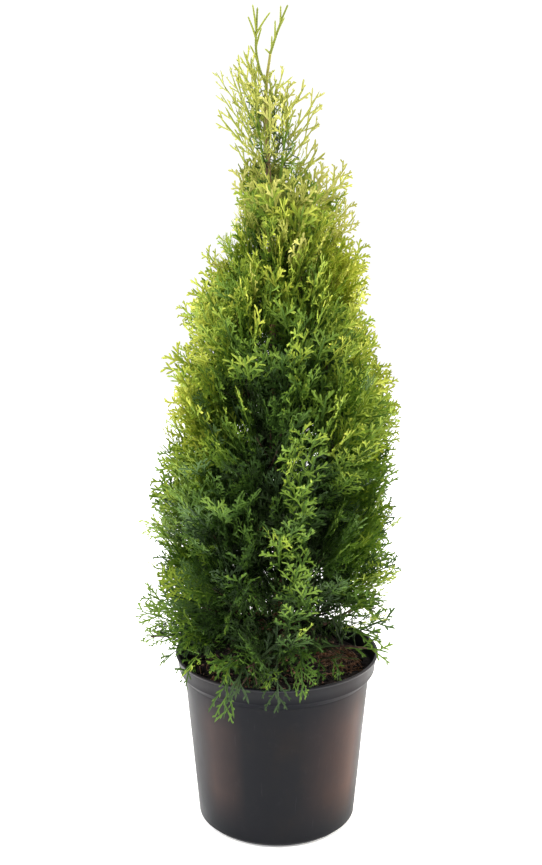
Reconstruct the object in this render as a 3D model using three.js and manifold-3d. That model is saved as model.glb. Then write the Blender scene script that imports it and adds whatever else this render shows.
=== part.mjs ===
// A young columnar thuja in a round plastic nursery pot: pot, potting soil, trunk, boughs and masses of flat,
// fan-shaped sprays. Millimetres, +Z up, the front of the plant faces -Y, and the origin is the middle of the
// pot's flat underside. Azimuths are in degrees, counterclockwise from +X seen from above.
import * as THREE from "three";
import { mergeVertices } from "three/addons/utils/BufferGeometryUtils.js";
import Module from "manifold-3d";

const wasm = await Module();
wasm.setup();

// ---------------------------------------------------------------- driving dimensions
const CLEAR = 0.3; // gap between touching solids

const POT_HEIGHT = 243;
const RIM_RADIUS = 140; // outside of the lip
const LIP = 2; // height and overhang of the lip
const COLLAR_HEIGHT = 32; // the thicker band under the lip
const COLLAR_CHAMFER = 9; // height of the band's slanted underside
const COLLAR_TAPER = 2.5; // how much narrower the band is at its foot
const BODY_TOP_RADIUS = 127.8; // body just under the band
const BODY_BASE_RADIUS = 108.6;
const BASE_CHAMFER = 6;
const WALL = 1.8;
const FLOOR = 3;
const POT_SIDES = 32;
const DRAIN_HOLES = 8;
const DRAIN_RADIUS = 6;
const DRAIN_CIRCLE = 84;
const DRAIN_SIDES = 6;

const SOIL_BELOW_LIP = 24; // at the wall
const SOIL_MOUND = 5; // rise of the soil towards the trunk
const SOIL_LUMP = 1.6; // unevenness between the trunk and the wall
const TRUNK_APRON = 26; // radius of the level soil round the trunk

const PLANT_TOP = 1098;
const TRUNK_RADIUS = 9.5; // just above the root flare
const ROOT_FLARE = 6; // what the foot adds to that radius
const FLARE_HEIGHT = 20;
const TRUNK_TIP_RADIUS = 1.6;
const FORK_TAPER = 0.6; // radius of a limb at its fork, as a share of its radius at the trunk
const STEM_TIP_RADIUS = 1;
const TWIG_RADIUS = 1.6;
const TWIG_LEAST_RADIUS = 0.7;
const TWIG_SLENDERNESS = 0.02; // radius of a short twig, as a share of its reach

const SPRAY_SHARE = 0.78; // of a twig's reach that its spray takes up
const SPRAY_MAX = 104; // longest spray
const SPRAY_THICK = 0.045; // of its length
const SPRAY_HEART = 0.38; // how far along a spray its thickest point lies
const SPRAY_LEAN = 62; // degrees that sprays are turned from upright about their own line, to either side
const FIT_SIZES = [1, 0.86, 0.72, 0.58]; // tried in turn where a spray has little room
const FIT_PULLS = [0, 0.15, 0.3]; // how far its tip may be drawn back towards the heart of the mass
const FIT_TURNS = [0, 28, -28, 62, -62, 90];
const CELL_MARGIN = 1; // what a mass keeps clear of the border with its neighbour
const CELL_SLOPE = 0.8; // the borders between rings rise outwards by this much
const HEART_SHARE = 0.6; // how far out, as a share of the outline's radius, the heart of a mass lies
const SECTOR_SHARE = 0.92; // of the arc between two neighbours that a mass's twigs fan out over
const REACH_VARIES = 0.15; // how far short of the outline a spray may end, as a share of its radius
const CORE_AT = 0.35; // where the middle of a mass's core lies on its stem
const CORE_REACH = 0.2; // half width of a core, as a share of the outline's radius
const CORE_RISE = 0.42; // half height of a core, as a share of the mass's stretch of outline
const CORE_LEAST = 0.3; // smallest size that a core is shrunk to, to keep to its space
const CORE_STEP = 0.1;
const LIMB_SAG = 0.1; // how far a limb dips at the middle of its first stretch, as a share of its length
const STAGGER = 13; // limbs of a ring leave the trunk at three heights, this far apart
const TRUNK_FACETS = [8, 14]; // sides and steps along the length
const BOUGH_FACETS = [5, 3];
const STEM_FACETS = [4, 3];
const POT_CLEAR = 1; // what the foliage keeps clear of the pot and the soil
const GOLDEN = 0.618034; // steps of two sequences that spread spots evenly
const PLASTIC = 0.7548777;

const GROUND = POT_HEIGHT - SOIL_BELOW_LIP + SOIL_MOUND; // level soil at the trunk's foot

// The crown's outline: height, radius, and how far its middle stands off the pot's axis towards +X.
const OUTLINE = [
  [215, 164, -14],
  [300, 180, -14],
  [420, 178, -4],
  [590, 168, 5],
  [700, 140, 1],
  [790, 108, 8],
  [860, 84, 18],
  [920, 62, 8],
  [975, 64, -12],
  [1030, 38, -24],
  [PLANT_TOP, 16, -16],
];

// The line that the trunk follows, from just under the soil's surface to the foot of the leading shoot.
const TRUNK_LINE = [
  [0, 4, GROUND - 12],
  [0, 4, GROUND + 12],
  [5, 3, 420],
  [-3, 0, 640],
  [-10, -2, 860],
  [-14, 0, 1000],
  [-9, 0, 1040],
];

// Rings of foliage masses from the soil up. turn: azimuth of the first mass. leave, radius: where its limb
// leaves the trunk, and how thick. fork: where the bough ends and the mass's own stem begins, as a share of
// the outline's radius and a height, or null where the whole limb is the mass's stem. crest: the same for the
// stem's end. low, high: the stretch of outline that its twigs reach. from, to: the stretch of stem that they
// leave, as shares of its length. hangs: the outermost twigs reach the lowest spots.
const RINGS = [
  { name: "skirt", count: 6, turn: -98, leave: 240, radius: 3.2, fork: null, crest: [0.94, 286],
    low: 232, high: 312, twigs: 5, from: 0.34, to: 0.97, core: false, hangs: true, color: 0x3d6130 },
  { name: "low", count: 6, turn: -68, leave: 252, radius: 4.6, fork: [0.3, 296], crest: [0.56, 428],
    low: 346, high: 492, twigs: 8, from: 0.08, to: 0.85, core: true, hangs: false, color: 0x46702c },
  { name: "middle", count: 6, turn: -98, leave: 382, radius: 4.2, fork: [0.3, 436], crest: [0.54, 578],
    low: 490, high: 644, twigs: 8, from: 0.08, to: 0.85, core: true, hangs: false, color: 0x4f7a2b },
  { name: "upper", count: 5, turn: -62, leave: 528, radius: 3.6, fork: [0.3, 584], crest: [0.52, 708],
    low: 640, high: 774, twigs: 8, from: 0.08, to: 0.85, core: true, hangs: false, color: 0x5f8a2e },
  { name: "shoulder", count: 4, turn: -5, leave: 660, radius: 2.8, fork: null, crest: [0.44, 828],
    low: 768, high: 896, twigs: 7, from: 0.2, to: 0.9, core: true, hangs: false, color: 0x76983a },
  { name: "neck", count: 3, turn: -20, leave: 812, radius: 2.2, fork: null, crest: [0.36, 962],
    low: 884, high: 1036, twigs: 7, from: 0.3, to: 0.95, core: false, hangs: false, color: 0x8fa944 },
];

// Twigs that reach further than the rest of their mass: its name, then azimuth, height, and share of the
// outline's radius. Three of them droop over the front of the rim.
const REACHING = [
  ["skirt_foliage_1", -110, 213, 0.97],
  ["skirt_foliage_1", -92, 225, 0.97],
  ["skirt_foliage_1", -79, 230, 0.97],
  ["skirt_foliage_6", 188, 290, 0.98],
];

// Shoots at the very top: the stem's line, its radius at the foot, how many small sprays it bears from which
// share of its length on, and how far they stand off it.
const SHOOTS = [
  { name: "leader_foliage", line: [[-9, 0, 1040 + CLEAR], [0, 0, 1064], [8, 0, 1086]], radius: 1.5,
    twigs: 5, from: 0.15, reach: 11, color: 0x9bb04c },
  { name: "side_leader_foliage", line: [[-14, 0, 1002], [-24, 1, 1024], [-29, 2, 1054], [-30, 2, 1082]],
    radius: 1.6, twigs: 6, from: 0.4, reach: 13, color: 0x9bb04c },
];
const SHOOT_RISE = 12; // from the stem to the tip of a small spray
const SHOOT_TURN = 150; // degrees between one small spray and the next

// Rim of a spray round its thickest point: bearing in degrees from its tip, and distance as a share of its
// length. Tips and notches take turns. The first and the last point are the two sides of its foot.
const SPRAY_RIM = [
  [-176, 0.38], [-84, 0.29], [-50, 0.2], [-34, 0.46], [-14, 0.38],
  [0, 0.62], [12, 0.4], [31, 0.47], [46, 0.21], [80, 0.3], [176, 0.38],
];

// ---------------------------------------------------------------- solids
function solid(geometry) {
  const bare = new THREE.BufferGeometry();
  bare.setAttribute("position", geometry.attributes.position);
  bare.setIndex(geometry.index);
  const merged = mergeVertices(bare, 1e-4);
  const corners = Array.from(merged.index.array);
  const faces = [];
  for (let i = 0; i < corners.length; i += 3) {
    const [a, b, c] = corners.slice(i, i + 3);
    if (a !== b && b !== c && c !== a) faces.push(a, b, c);
  }
  const body = (triVerts) => new wasm.Manifold(new wasm.Mesh({
    numProp: 3,
    vertProperties: Float32Array.from(merged.attributes.position.array),
    triVerts: Uint32Array.from(triVerts),
  }));
  const made = body(faces);
  return made.volume() > 0 ? made : body(faces.reverse());
}

function geometryOf(body) {
  const mesh = body.getMesh();
  const geometry = new THREE.BufferGeometry();
  geometry.setAttribute("position", new THREE.BufferAttribute(Float32Array.from(mesh.vertProperties), 3));
  geometry.setIndex(new THREE.BufferAttribute(Uint32Array.from(mesh.triVerts), 1));
  geometry.computeVertexNormals();
  return geometry;
}

// The largest piece of a solid that a cut may have left in several.
function largest(body) {
  return body.decompose().sort((a, b) => b.volume() - a.volume())[0];
}

function fused(bodies) {
  return bodies.reduce((all, body) => all.add(body));
}

function vector(point) {
  return new THREE.Vector3(...point);
}

function radians(degrees) {
  return THREE.MathUtils.degToRad(degrees);
}

function smooth(points) {
  return new THREE.CatmullRomCurve3(points, false, "centripetal");
}

// The stretch of a curve between two of its parameters, as a curve of its own.
function stretch(curve, from, to) {
  return smooth([0, 0.25, 0.5, 0.75, 1].map((share) => curve.getPoint(from + (to - from) * share)));
}

// A body of revolution about +Z from a [radius, height] profile that starts and ends on the axis.
function turned(profile) {
  const points = profile.map(([radius, height]) => new THREE.Vector2(radius, height));
  return new THREE.LatheGeometry(points, POT_SIDES).rotateX(Math.PI / 2);
}

// A limb along a curve, with a radius for each share of its length.
function limb(curve, radiusAt, [sides, steps]) {
  const frames = curve.computeFrenetFrames(steps, false);
  const geometry = new THREE.CylinderGeometry(1, 1, 1, sides, steps);
  const places = geometry.attributes.position;
  for (let i = 0; i < places.count; i++) {
    const share = 0.5 - places.getY(i);
    const step = Math.round(share * steps);
    const spot = curve.getPointAt(share)
      .addScaledVector(frames.normals[step], places.getX(i) * radiusAt(share))
      .addScaledVector(frames.binormals[step], places.getZ(i) * radiusAt(share));
    places.setXYZ(i, spot.x, spot.y, spot.z);
  }
  return solid(geometry);
}

function taper(from, to) {
  return (share) => from + (to - from) * share;
}

// ---------------------------------------------------------------- pot and soil
const COLLAR_FOOT = POT_HEIGHT - COLLAR_HEIGHT;
const COLLAR_RADIUS = RIM_RADIUS - LIP; // outside of the band, just under the lip
const COLLAR_FOOT_RADIUS = COLLAR_RADIUS - COLLAR_TAPER;

function bodyRadius(height) {
  return BODY_BASE_RADIUS + ((BODY_TOP_RADIUS - BODY_BASE_RADIUS) * height) / COLLAR_FOOT;
}

const POT_OUTSIDE = [
  [BODY_BASE_RADIUS - BASE_CHAMFER, 0],
  [bodyRadius(BASE_CHAMFER), BASE_CHAMFER],
  [BODY_TOP_RADIUS, COLLAR_FOOT],
  [COLLAR_FOOT_RADIUS, COLLAR_FOOT + COLLAR_CHAMFER],
  [COLLAR_RADIUS, POT_HEIGHT - 2 * LIP],
  [RIM_RADIUS, POT_HEIGHT - LIP],
  [RIM_RADIUS, POT_HEIGHT],
];

const POT_INSIDE = [
  [COLLAR_RADIUS - WALL, POT_HEIGHT],
  [COLLAR_FOOT_RADIUS - WALL, COLLAR_FOOT + COLLAR_CHAMFER],
  [BODY_TOP_RADIUS - WALL, COLLAR_FOOT],
  [bodyRadius(FLOOR) - WALL - BASE_CHAMFER / 2, FLOOR],
];

function makePot() {
  const shell = solid(turned([[0, 0], ...POT_OUTSIDE, ...POT_INSIDE, [0, FLOOR]]));
  const holes = [];
  for (let i = 0; i < DRAIN_HOLES; i++) {
    const bearing = radians(((i + 0.5) * 360) / DRAIN_HOLES);
    const hole = new THREE.CylinderGeometry(DRAIN_RADIUS, DRAIN_RADIUS, 3 * FLOOR, DRAIN_SIDES);
    hole.rotateX(Math.PI / 2);
    hole.translate(DRAIN_CIRCLE * Math.cos(bearing), DRAIN_CIRCLE * Math.sin(bearing), FLOOR / 2);
    holes.push(solid(hole));
  }
  return shell.subtract(fused(holes));
}

// Height of the soil's surface: level round the trunk, then uneven and sinking towards the wall.
function soilHeight(x, y) {
  const out = THREE.MathUtils.smoothstep(Math.hypot(x, y), TRUNK_APRON, BODY_TOP_RADIUS);
  const lumps = Math.sin(x / 13 + 1) * Math.cos(y / 11) + 0.6 * Math.sin((x + y) / 7);
  return GROUND - SOIL_MOUND * out + SOIL_LUMP * lumps * Math.sin(Math.PI * out);
}

function makeSoil() {
  const [, [shoulder, shoulderHeight], [neck, neckHeight], [foot, footHeight]] = POT_INSIDE;
  const edge = GROUND - SOIL_MOUND;
  const wallAtEdge = THREE.MathUtils.mapLinear(edge, neckHeight, shoulderHeight, neck, shoulder);
  const top = [0, 1, 2, 3.4].map((share) => [share * TRUNK_APRON, edge]); // rings that the lumps move
  const side = [
    [wallAtEdge - 2 * CLEAR, edge],
    [neck - 2 * CLEAR, neckHeight],
    [foot - 2 * CLEAR, footHeight + CLEAR],
    [0, footHeight + CLEAR],
  ];
  const geometry = turned([...top, ...side]);
  const places = geometry.attributes.position;
  for (let i = 0; i < places.count; i++) {
    if (places.getZ(i) > edge - CLEAR) places.setZ(i, soilHeight(places.getX(i), places.getY(i)));
  }
  return solid(geometry);
}

// Pot and soil in one, a little larger: the space that no twig may enter.
function makePotSpace() {
  const outside = POT_OUTSIDE.map(([radius, height]) => [radius + POT_CLEAR, height]);
  const lipTop = POT_HEIGHT + POT_CLEAR;
  const soilTop = GROUND + SOIL_LUMP + POT_CLEAR;
  const mouth = COLLAR_FOOT_RADIUS - WALL - POT_CLEAR;
  const inside = [[RIM_RADIUS + POT_CLEAR, lipTop], [mouth, lipTop], [mouth, soilTop], [0, soilTop]];
  return solid(turned([[0, 0], ...outside, ...inside]));
}

// ---------------------------------------------------------------- trunk
const TRUNK_CURVE = smooth(TRUNK_LINE.map(vector));

function makeTrunk(grown = 0) {
  const radiusAt = (share) => {
    const above = Math.max(TRUNK_CURVE.getPointAt(share).z - GROUND, 0);
    const flare = ROOT_FLARE * Math.exp((-3 * above) / FLARE_HEIGHT);
    return taper(TRUNK_RADIUS, TRUNK_TIP_RADIUS)(share) + flare + grown;
  };
  const size = 10 * TRUNK_RADIUS;
  const below = new THREE.BoxGeometry(size, size, size).translate(0, 0, GROUND + CLEAR - grown - size / 2);
  return limb(TRUNK_CURVE, radiusAt, TRUNK_FACETS).subtract(solid(below));
}

// The trunk's axis at a height.
function onTrunk(height) {
  const after = Math.max(TRUNK_LINE.findIndex((point) => point[2] > height), 1);
  const share = THREE.MathUtils.inverseLerp(TRUNK_LINE[after - 1][2], TRUNK_LINE[after][2], height);
  return TRUNK_CURVE.getPoint((after - 1 + share) / (TRUNK_LINE.length - 1));
}

// ---------------------------------------------------------------- plan of the crown
function outlineAt(height, column) {
  const next = OUTLINE.findIndex((row) => row[0] > height);
  const after = next < 0 ? OUTLINE.length - 1 : Math.max(next, 1);
  const [low, high] = [OUTLINE[after - 1], OUTLINE[after]];
  return THREE.MathUtils.mapLinear(height, low[0], high[0], low[column], high[column]);
}

function onOutline(azimuth, height, share = 1) {
  const out = new THREE.Vector3(outlineAt(height, 1) * share, 0, height);
  out.applyAxisAngle(new THREE.Vector3(0, 0, 1), radians(azimuth));
  out.x += outlineAt(height, 2);
  return out;
}

// A number from 0 to 1 that spreads evenly as count grows, from a different start for each seed.
function spread(seed, count, step) {
  return (seed * GOLDEN * PLASTIC + count * step) % 1;
}

// The limbs of one mass of a ring, its heart, and the spots on the outline that its twigs reach.
function planMass(ring, number, seed) {
  const azimuth = ring.turn + (number * 360) / ring.count;
  const middle = (ring.low + ring.high) / 2;
  const heart = onOutline(azimuth, middle, HEART_SHARE);
  heart.z -= CELL_SLOPE * (1 - HEART_SHARE) * outlineAt(middle, 1);

  const root = onTrunk(ring.leave + STAGGER * (number % 3));
  const crest = onOutline(azimuth, ring.crest[1], ring.crest[0]);
  const fork = ring.fork ? onOutline(azimuth, ring.fork[1], ring.fork[0]) : root.clone().lerp(crest, 0.7);
  const knee = root.clone().lerp(fork, 0.5);
  knee.z -= LIMB_SAG * root.distanceTo(fork);
  const whole = smooth([root, knee, fork, crest]);
  const atFork = ring.fork ? 2 / 3 : 0; // the third of the curve's four points
  const beyond = stretch(whole, atFork, 1);

  const targets = [];
  for (let i = 0; i < ring.twigs; i++) {
    const height = THREE.MathUtils.lerp(ring.low, ring.high, (i + 0.5) / ring.twigs);
    const aside = ((spread(seed, i, GOLDEN) - 0.5) * SECTOR_SHARE * 360) / ring.count;
    targets.push(onOutline(azimuth + aside, height, 1 - REACH_VARIES * spread(seed, i, PLASTIC)));
  }
  if (ring.hangs) targets.reverse();
  const name = `${ring.name}_foliage_${number + 1}`;
  for (const [of, ...spot] of REACHING) {
    if (of === name) targets.push(onOutline(...spot));
  }

  return {
    name,
    boughName: `${ring.name}_bough_${number + 1}`,
    bough: ring.fork ? stretch(whole, 0, atFork) : null,
    boughRadius: ring.radius,
    stem: ring.fork ? stretch(beyond, CLEAR / beyond.getLength(), 1) : beyond,
    stemRadius: ring.fork ? ring.radius * FORK_TAPER : ring.radius,
    heart,
    coreSize: ring.core ? [CORE_REACH * outlineAt(middle, 1), CORE_RISE * (ring.high - ring.low)] : null,
    azimuth,
    targets,
    from: ring.from,
    to: ring.to,
    color: ring.color,
  };
}

// The same for a shoot, whose small sprays stand all round it, the last one at its tip.
function planShoot(shoot) {
  const stem = smooth(shoot.line.map(vector));
  const targets = [];
  for (let i = 0; i < shoot.twigs; i++) {
    const share = (i + 1) / shoot.twigs;
    const spot = stem.getPointAt(THREE.MathUtils.lerp(shoot.from, 1, share));
    const out = i + 1 < shoot.twigs ? shoot.reach : 0;
    const bearing = radians(i * SHOOT_TURN);
    targets.push(spot.add(new THREE.Vector3(out * Math.cos(bearing), out * Math.sin(bearing), SHOOT_RISE)));
  }
  return {
    name: shoot.name,
    bough: null,
    stem,
    stemRadius: shoot.radius,
    heart: stem.getPointAt(0.6),
    coreSize: null,
    azimuth: 0,
    targets,
    from: shoot.from,
    to: 1,
    color: shoot.color,
  };
}

function planCrown() {
  const masses = [];
  for (const ring of RINGS) {
    for (let number = 0; number < ring.count; number++) masses.push(planMass(ring, number, masses.length));
  }
  masses.push(...SHOOTS.map(planShoot));
  return masses;
}

// Seen with heights lowered towards the outside, each mass owns the space that is nearer to its heart than to
// any other, so the borders between rings rise outwards.
function lowered(point) {
  return new THREE.Vector3(point.x, point.y, point.z - CELL_SLOPE * Math.hypot(point.x, point.y));
}

function keepsToCell(geometry, mass, masses) {
  const own = lowered(mass.heart);
  const others = masses.filter((other) => other !== mass).map((other) => lowered(other.heart));
  const places = geometry.attributes.position;
  for (let i = 0; i < places.count; i++) {
    const spot = lowered(new THREE.Vector3().fromBufferAttribute(places, i));
    const reach = spot.distanceToSquared(own);
    for (const other of others) {
      if (spot.distanceToSquared(other) - reach < 2 * CELL_MARGIN * own.distanceTo(other)) return false;
    }
  }
  return true;
}

// ---------------------------------------------------------------- foliage
// A three-sided twig from its root to the foot of a spray, and on as a flat fan with a toothed rim, turned
// about its own line from upright by some degrees.
function twigWithSpray(root, foot, tip, azimuth, turn) {
  const length = foot.distanceTo(tip);
  const forward = tip.clone().sub(foot).normalize();
  const across = new THREE.Vector3(-Math.sin(radians(azimuth)), Math.cos(radians(azimuth)), 0);
  const normal = across.addScaledVector(forward, -across.dot(forward)).normalize();
  normal.applyAxisAngle(forward, radians(turn));
  const side = normal.clone().cross(forward);
  const heart = foot.clone().addScaledVector(forward, SPRAY_HEART * length);
  const slender = TWIG_SLENDERNESS * root.distanceTo(tip);
  const thick = THREE.MathUtils.clamp(slender, TWIG_LEAST_RADIUS, TWIG_RADIUS);

  const points = SPRAY_RIM.map(([bearing, share]) => heart.clone()
    .addScaledVector(forward, Math.cos(radians(bearing)) * share * length)
    .addScaledVector(side, Math.sin(radians(bearing)) * share * length));
  const [first, last] = [0, points.length - 1];
  const above = points.push(heart.clone().addScaledVector(normal, (SPRAY_THICK * length) / 2)) - 1;
  const below = points.push(heart.clone().addScaledVector(normal, (-SPRAY_THICK * length) / 2)) - 1;
  const keel = points.push(foot.clone().addScaledVector(normal, -thick)) - 1;
  const rootRight = points.push(root.clone().addScaledVector(side, -thick)) - 1;
  const rootLeft = points.push(root.clone().addScaledVector(side, thick)) - 1;
  const rootKeel = points.push(root.clone().addScaledVector(normal, -thick)) - 1;

  const faces = [];
  for (let i = first; i < last; i++) faces.push(above, i, i + 1, below, i + 1, i);
  faces.push(above, last, first, below, keel, last, below, first, keel);
  for (const [a, b, c, d] of [
    [last, first, rootRight, rootLeft], [first, keel, rootKeel, rootRight], [keel, last, rootLeft, rootKeel],
  ]) faces.push(a, d, c, a, c, b);
  faces.push(rootRight, rootLeft, rootKeel);

  const geometry = new THREE.BufferGeometry().setFromPoints(points);
  geometry.setIndex(faces);
  return geometry;
}

// One twig with its spray, in the first size and turn that keeps to the mass's space and off every limb.
function growTwig(mass, number, masses, limbs) {
  const share = (number + 0.5) / mass.targets.length;
  const root = mass.stem.getPointAt(THREE.MathUtils.lerp(mass.from, mass.to, share));
  const lean = number % 2 ? SPRAY_LEAN : -SPRAY_LEAN;
  for (const pull of FIT_PULLS) {
    const tip = mass.targets[number].clone().lerp(mass.heart, pull);
    const reach = root.distanceTo(tip);
    for (const size of FIT_SIZES) {
      const length = Math.min(SPRAY_MAX, SPRAY_SHARE * reach) * size;
      const foot = tip.clone().lerp(root, length / reach);
      for (const turn of FIT_TURNS) {
        const geometry = twigWithSpray(root, foot, tip, mass.azimuth, lean + turn);
        if (!keepsToCell(geometry, mass, masses)) continue;
        const body = solid(geometry);
        if (body.intersect(limbs).isEmpty()) return body;
      }
    }
  }
  return null;
}

// A dense middle for the twigs to stand out of, as large as the mass's space allows.
function growCore(mass, masses) {
  const [out, up] = mass.coreSize;
  const middle = mass.stem.getPointAt(CORE_AT);
  for (let size = 1; size > CORE_LEAST; size -= CORE_STEP) {
    const geometry = new THREE.IcosahedronGeometry(1, 0).scale(out * size, out * size, up * size);
    geometry.translate(middle.x, middle.y, middle.z);
    if (keepsToCell(geometry, mass, masses)) return solid(geometry);
  }
  return null;
}

function makeStem(mass, grown = 0) {
  return limb(mass.stem, taper(mass.stemRadius + grown, STEM_TIP_RADIUS + grown), STEM_FACETS);
}

function makeBough(mass, grown = 0) {
  const tipRadius = mass.boughRadius * FORK_TAPER;
  return limb(mass.bough, taper(mass.boughRadius + grown, tipRadius + grown), BOUGH_FACETS);
}

function makeMass(mass, masses, limbs) {
  const core = mass.coreSize && growCore(mass, masses);
  const twigs = mass.targets.map((_, number) => growTwig(mass, number, masses, limbs));
  const parts = [makeStem(mass), core, ...twigs].filter(Boolean);
  return largest(fused(parts).subtract(limbs));
}

// ---------------------------------------------------------------- assembly
const plastic = new THREE.MeshStandardMaterial({ color: 0x38373a, roughness: 0.42, metalness: 0 });
const peat = new THREE.MeshStandardMaterial({ color: 0x231a14, roughness: 0.97, metalness: 0 });
const bark = new THREE.MeshStandardMaterial({ color: 0x6a4733, roughness: 0.9, metalness: 0 });

const group = new THREE.Group();

function place(name, body, material) {
  const mesh = new THREE.Mesh(geometryOf(body), material);
  mesh.name = name;
  group.add(mesh);
}

const masses = planCrown();
place("pot", makePot(), plastic);
place("soil", makeSoil(), peat);
place("trunk", makeTrunk(), bark);
const trunkSpace = makeTrunk(CLEAR);
const fixedSpace = [makePotSpace(), trunkSpace];
for (const mass of masses.filter((each) => each.bough)) {
  place(mass.boughName, largest(makeBough(mass).subtract(trunkSpace)), bark);
  fixedSpace.push(makeBough(mass, CLEAR));
}
for (const mass of masses) {
  const otherStems = masses.filter((other) => other !== mass).map((other) => makeStem(other, CLEAR));
  const body = makeMass(mass, masses, fused([...fixedSpace, ...otherStems]));
  place(mass.name, body, new THREE.MeshStandardMaterial({ color: mass.color, roughness: 0.6, metalness: 0 }));
}

export default group;
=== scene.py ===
"""Looks of a potted thuja: pot, soil, bark and thousands of fine sprays of scale leaves, which grow from the
same limbs and by the same rule as the masses of the part's source that they replace.

Lengths are millimetres until a mesh is made, as in the part's source. +Z is up, the front of the plant faces
-Y, and azimuths are in degrees, counterclockwise from +X seen from above."""

import itertools
import math

import bpy
import numpy as np
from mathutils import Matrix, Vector


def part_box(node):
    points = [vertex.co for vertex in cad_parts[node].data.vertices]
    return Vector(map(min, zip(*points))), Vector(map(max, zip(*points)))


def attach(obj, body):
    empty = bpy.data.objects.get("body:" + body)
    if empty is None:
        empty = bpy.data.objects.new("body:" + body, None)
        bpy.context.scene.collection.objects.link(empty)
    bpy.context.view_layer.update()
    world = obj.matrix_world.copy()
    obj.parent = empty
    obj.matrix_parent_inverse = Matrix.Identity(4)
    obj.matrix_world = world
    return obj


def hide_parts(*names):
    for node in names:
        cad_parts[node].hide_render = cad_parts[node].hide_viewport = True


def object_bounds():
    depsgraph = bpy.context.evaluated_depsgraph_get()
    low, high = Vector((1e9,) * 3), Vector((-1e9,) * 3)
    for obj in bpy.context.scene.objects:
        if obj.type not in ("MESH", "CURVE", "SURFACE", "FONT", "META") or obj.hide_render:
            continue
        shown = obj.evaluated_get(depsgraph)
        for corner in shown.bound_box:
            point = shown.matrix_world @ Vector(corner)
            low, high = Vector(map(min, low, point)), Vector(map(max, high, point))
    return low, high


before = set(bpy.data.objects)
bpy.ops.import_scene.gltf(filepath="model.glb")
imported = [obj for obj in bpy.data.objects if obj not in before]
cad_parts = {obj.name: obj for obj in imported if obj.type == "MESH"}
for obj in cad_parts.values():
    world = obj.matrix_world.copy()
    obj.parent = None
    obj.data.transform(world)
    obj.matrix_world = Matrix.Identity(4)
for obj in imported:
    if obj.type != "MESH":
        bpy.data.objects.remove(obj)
cad_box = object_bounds()

MM = 0.001  # metres

# ---------------------------------------------------------------- driving dimensions
POT_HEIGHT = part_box("pot")[1][2] / MM
RIM_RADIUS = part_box("pot")[1][0] / MM  # outside of the lip
LIP = 2  # height and overhang of the lip
COLLAR_HEIGHT = 32  # the thicker band under the lip
COLLAR_CHAMFER = 9  # height of the band's slanted underside
COLLAR_TAPER = 2.5
COLLAR_FOOT = POT_HEIGHT - COLLAR_HEIGHT
COLLAR_RADIUS = RIM_RADIUS - LIP
COLLAR_FOOT_RADIUS = COLLAR_RADIUS - COLLAR_TAPER
BODY_TOP_RADIUS = 127.8  # just under the band
BODY_BASE_RADIUS = 108.6
BASE_CHAMFER = 6
WALL = 1.8
FLOOR = 3
HUB_RADIUS = 0.5  # where the turned floor ends
CORNER_RADIUS = 1
POT_SIDES = 192
DRAIN_HOLES = 8
DRAIN_RADIUS = 6
DRAIN_CIRCLE = 84
DRAIN_SIDES = 24

SOIL_BELOW_LIP = 24  # at the wall
SOIL_MOUND = 5  # rise of the soil towards the trunk
SOIL_LUMP = 1.6
SOIL_TUCK = (6, 8)  # how far in its side lies, at the collar's foot and at the underside
SOIL_HUB = 1  # where its turned surface ends
SOIL_RINGS = 70
SOIL_SIDES = 220
CLOD_FADE = 6  # width of the edge where the clods die down
CLOD_GRAIN = 0.35
TRUNK_APRON = 26  # radius of the level soil round the trunk
GROUND = POT_HEIGHT - SOIL_BELOW_LIP + SOIL_MOUND  # level soil at the trunk's foot

PLANT_TOP = cad_box[1][2] / MM
TRUNK_RADIUS = 9.5  # just above the root flare
ROOT_FLARE = 6
FLARE_HEIGHT = 20
TRUNK_TIP_RADIUS = 1.6
FORK_TAPER = 0.6  # radius of a limb at its fork, as a share of its radius at the trunk
STEM_TIP_RADIUS = 1
BOUGHLESS_FORK = 0.7  # share of the way to its crest where a limb without a bough turns up
LIMB_STEPS = 16
LIMB_SAG = 0.1  # how far a limb dips at the middle of its first stretch, as a share of its length
STAGGER = 13  # limbs of a ring leave the trunk at three heights, this far apart
SECTOR_SHARE = 0.92  # of the arc between two neighbours that a mass's twigs fan out over
REACH_VARIES = 0.15  # how far short of the outline a twig may end, as a share of its radius
SPRAY_LEAN = 43.4  # degrees that sprays are turned from upright about their own line, to either side
GOLDEN = 0.618034  # steps of two sequences that spread spots evenly
PLASTIC = 0.7548777
GOLDEN_ANGLE = 137.5  # degrees between a disc's sprays
DISC_TURN = 50  # degrees that each disc is turned from the one before

# The crown's outline: height, radius, and how far its middle stands off the pot's axis towards +X.
OUTLINE = np.array([
    [215, 164, -14], [300, 180, -14], [420, 178, -4], [590, 168, 5], [700, 140, 1], [790, 108, 8],
    [860, 84, 18], [920, 62, 8], [975, 64, -12], [1030, 38, -24], [PLANT_TOP, 16, -16],
])

# The line that the trunk follows, from just under the soil's surface to the foot of the leading shoot.
TRUNK_LINE = [
    [0, 4, GROUND - 12], [0, 4, GROUND + 12], [5, 3, 420], [-3, 0, 640], [-10, -2, 860], [-14, 0, 1000],
    [-9, 0, 1040],
]

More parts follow.
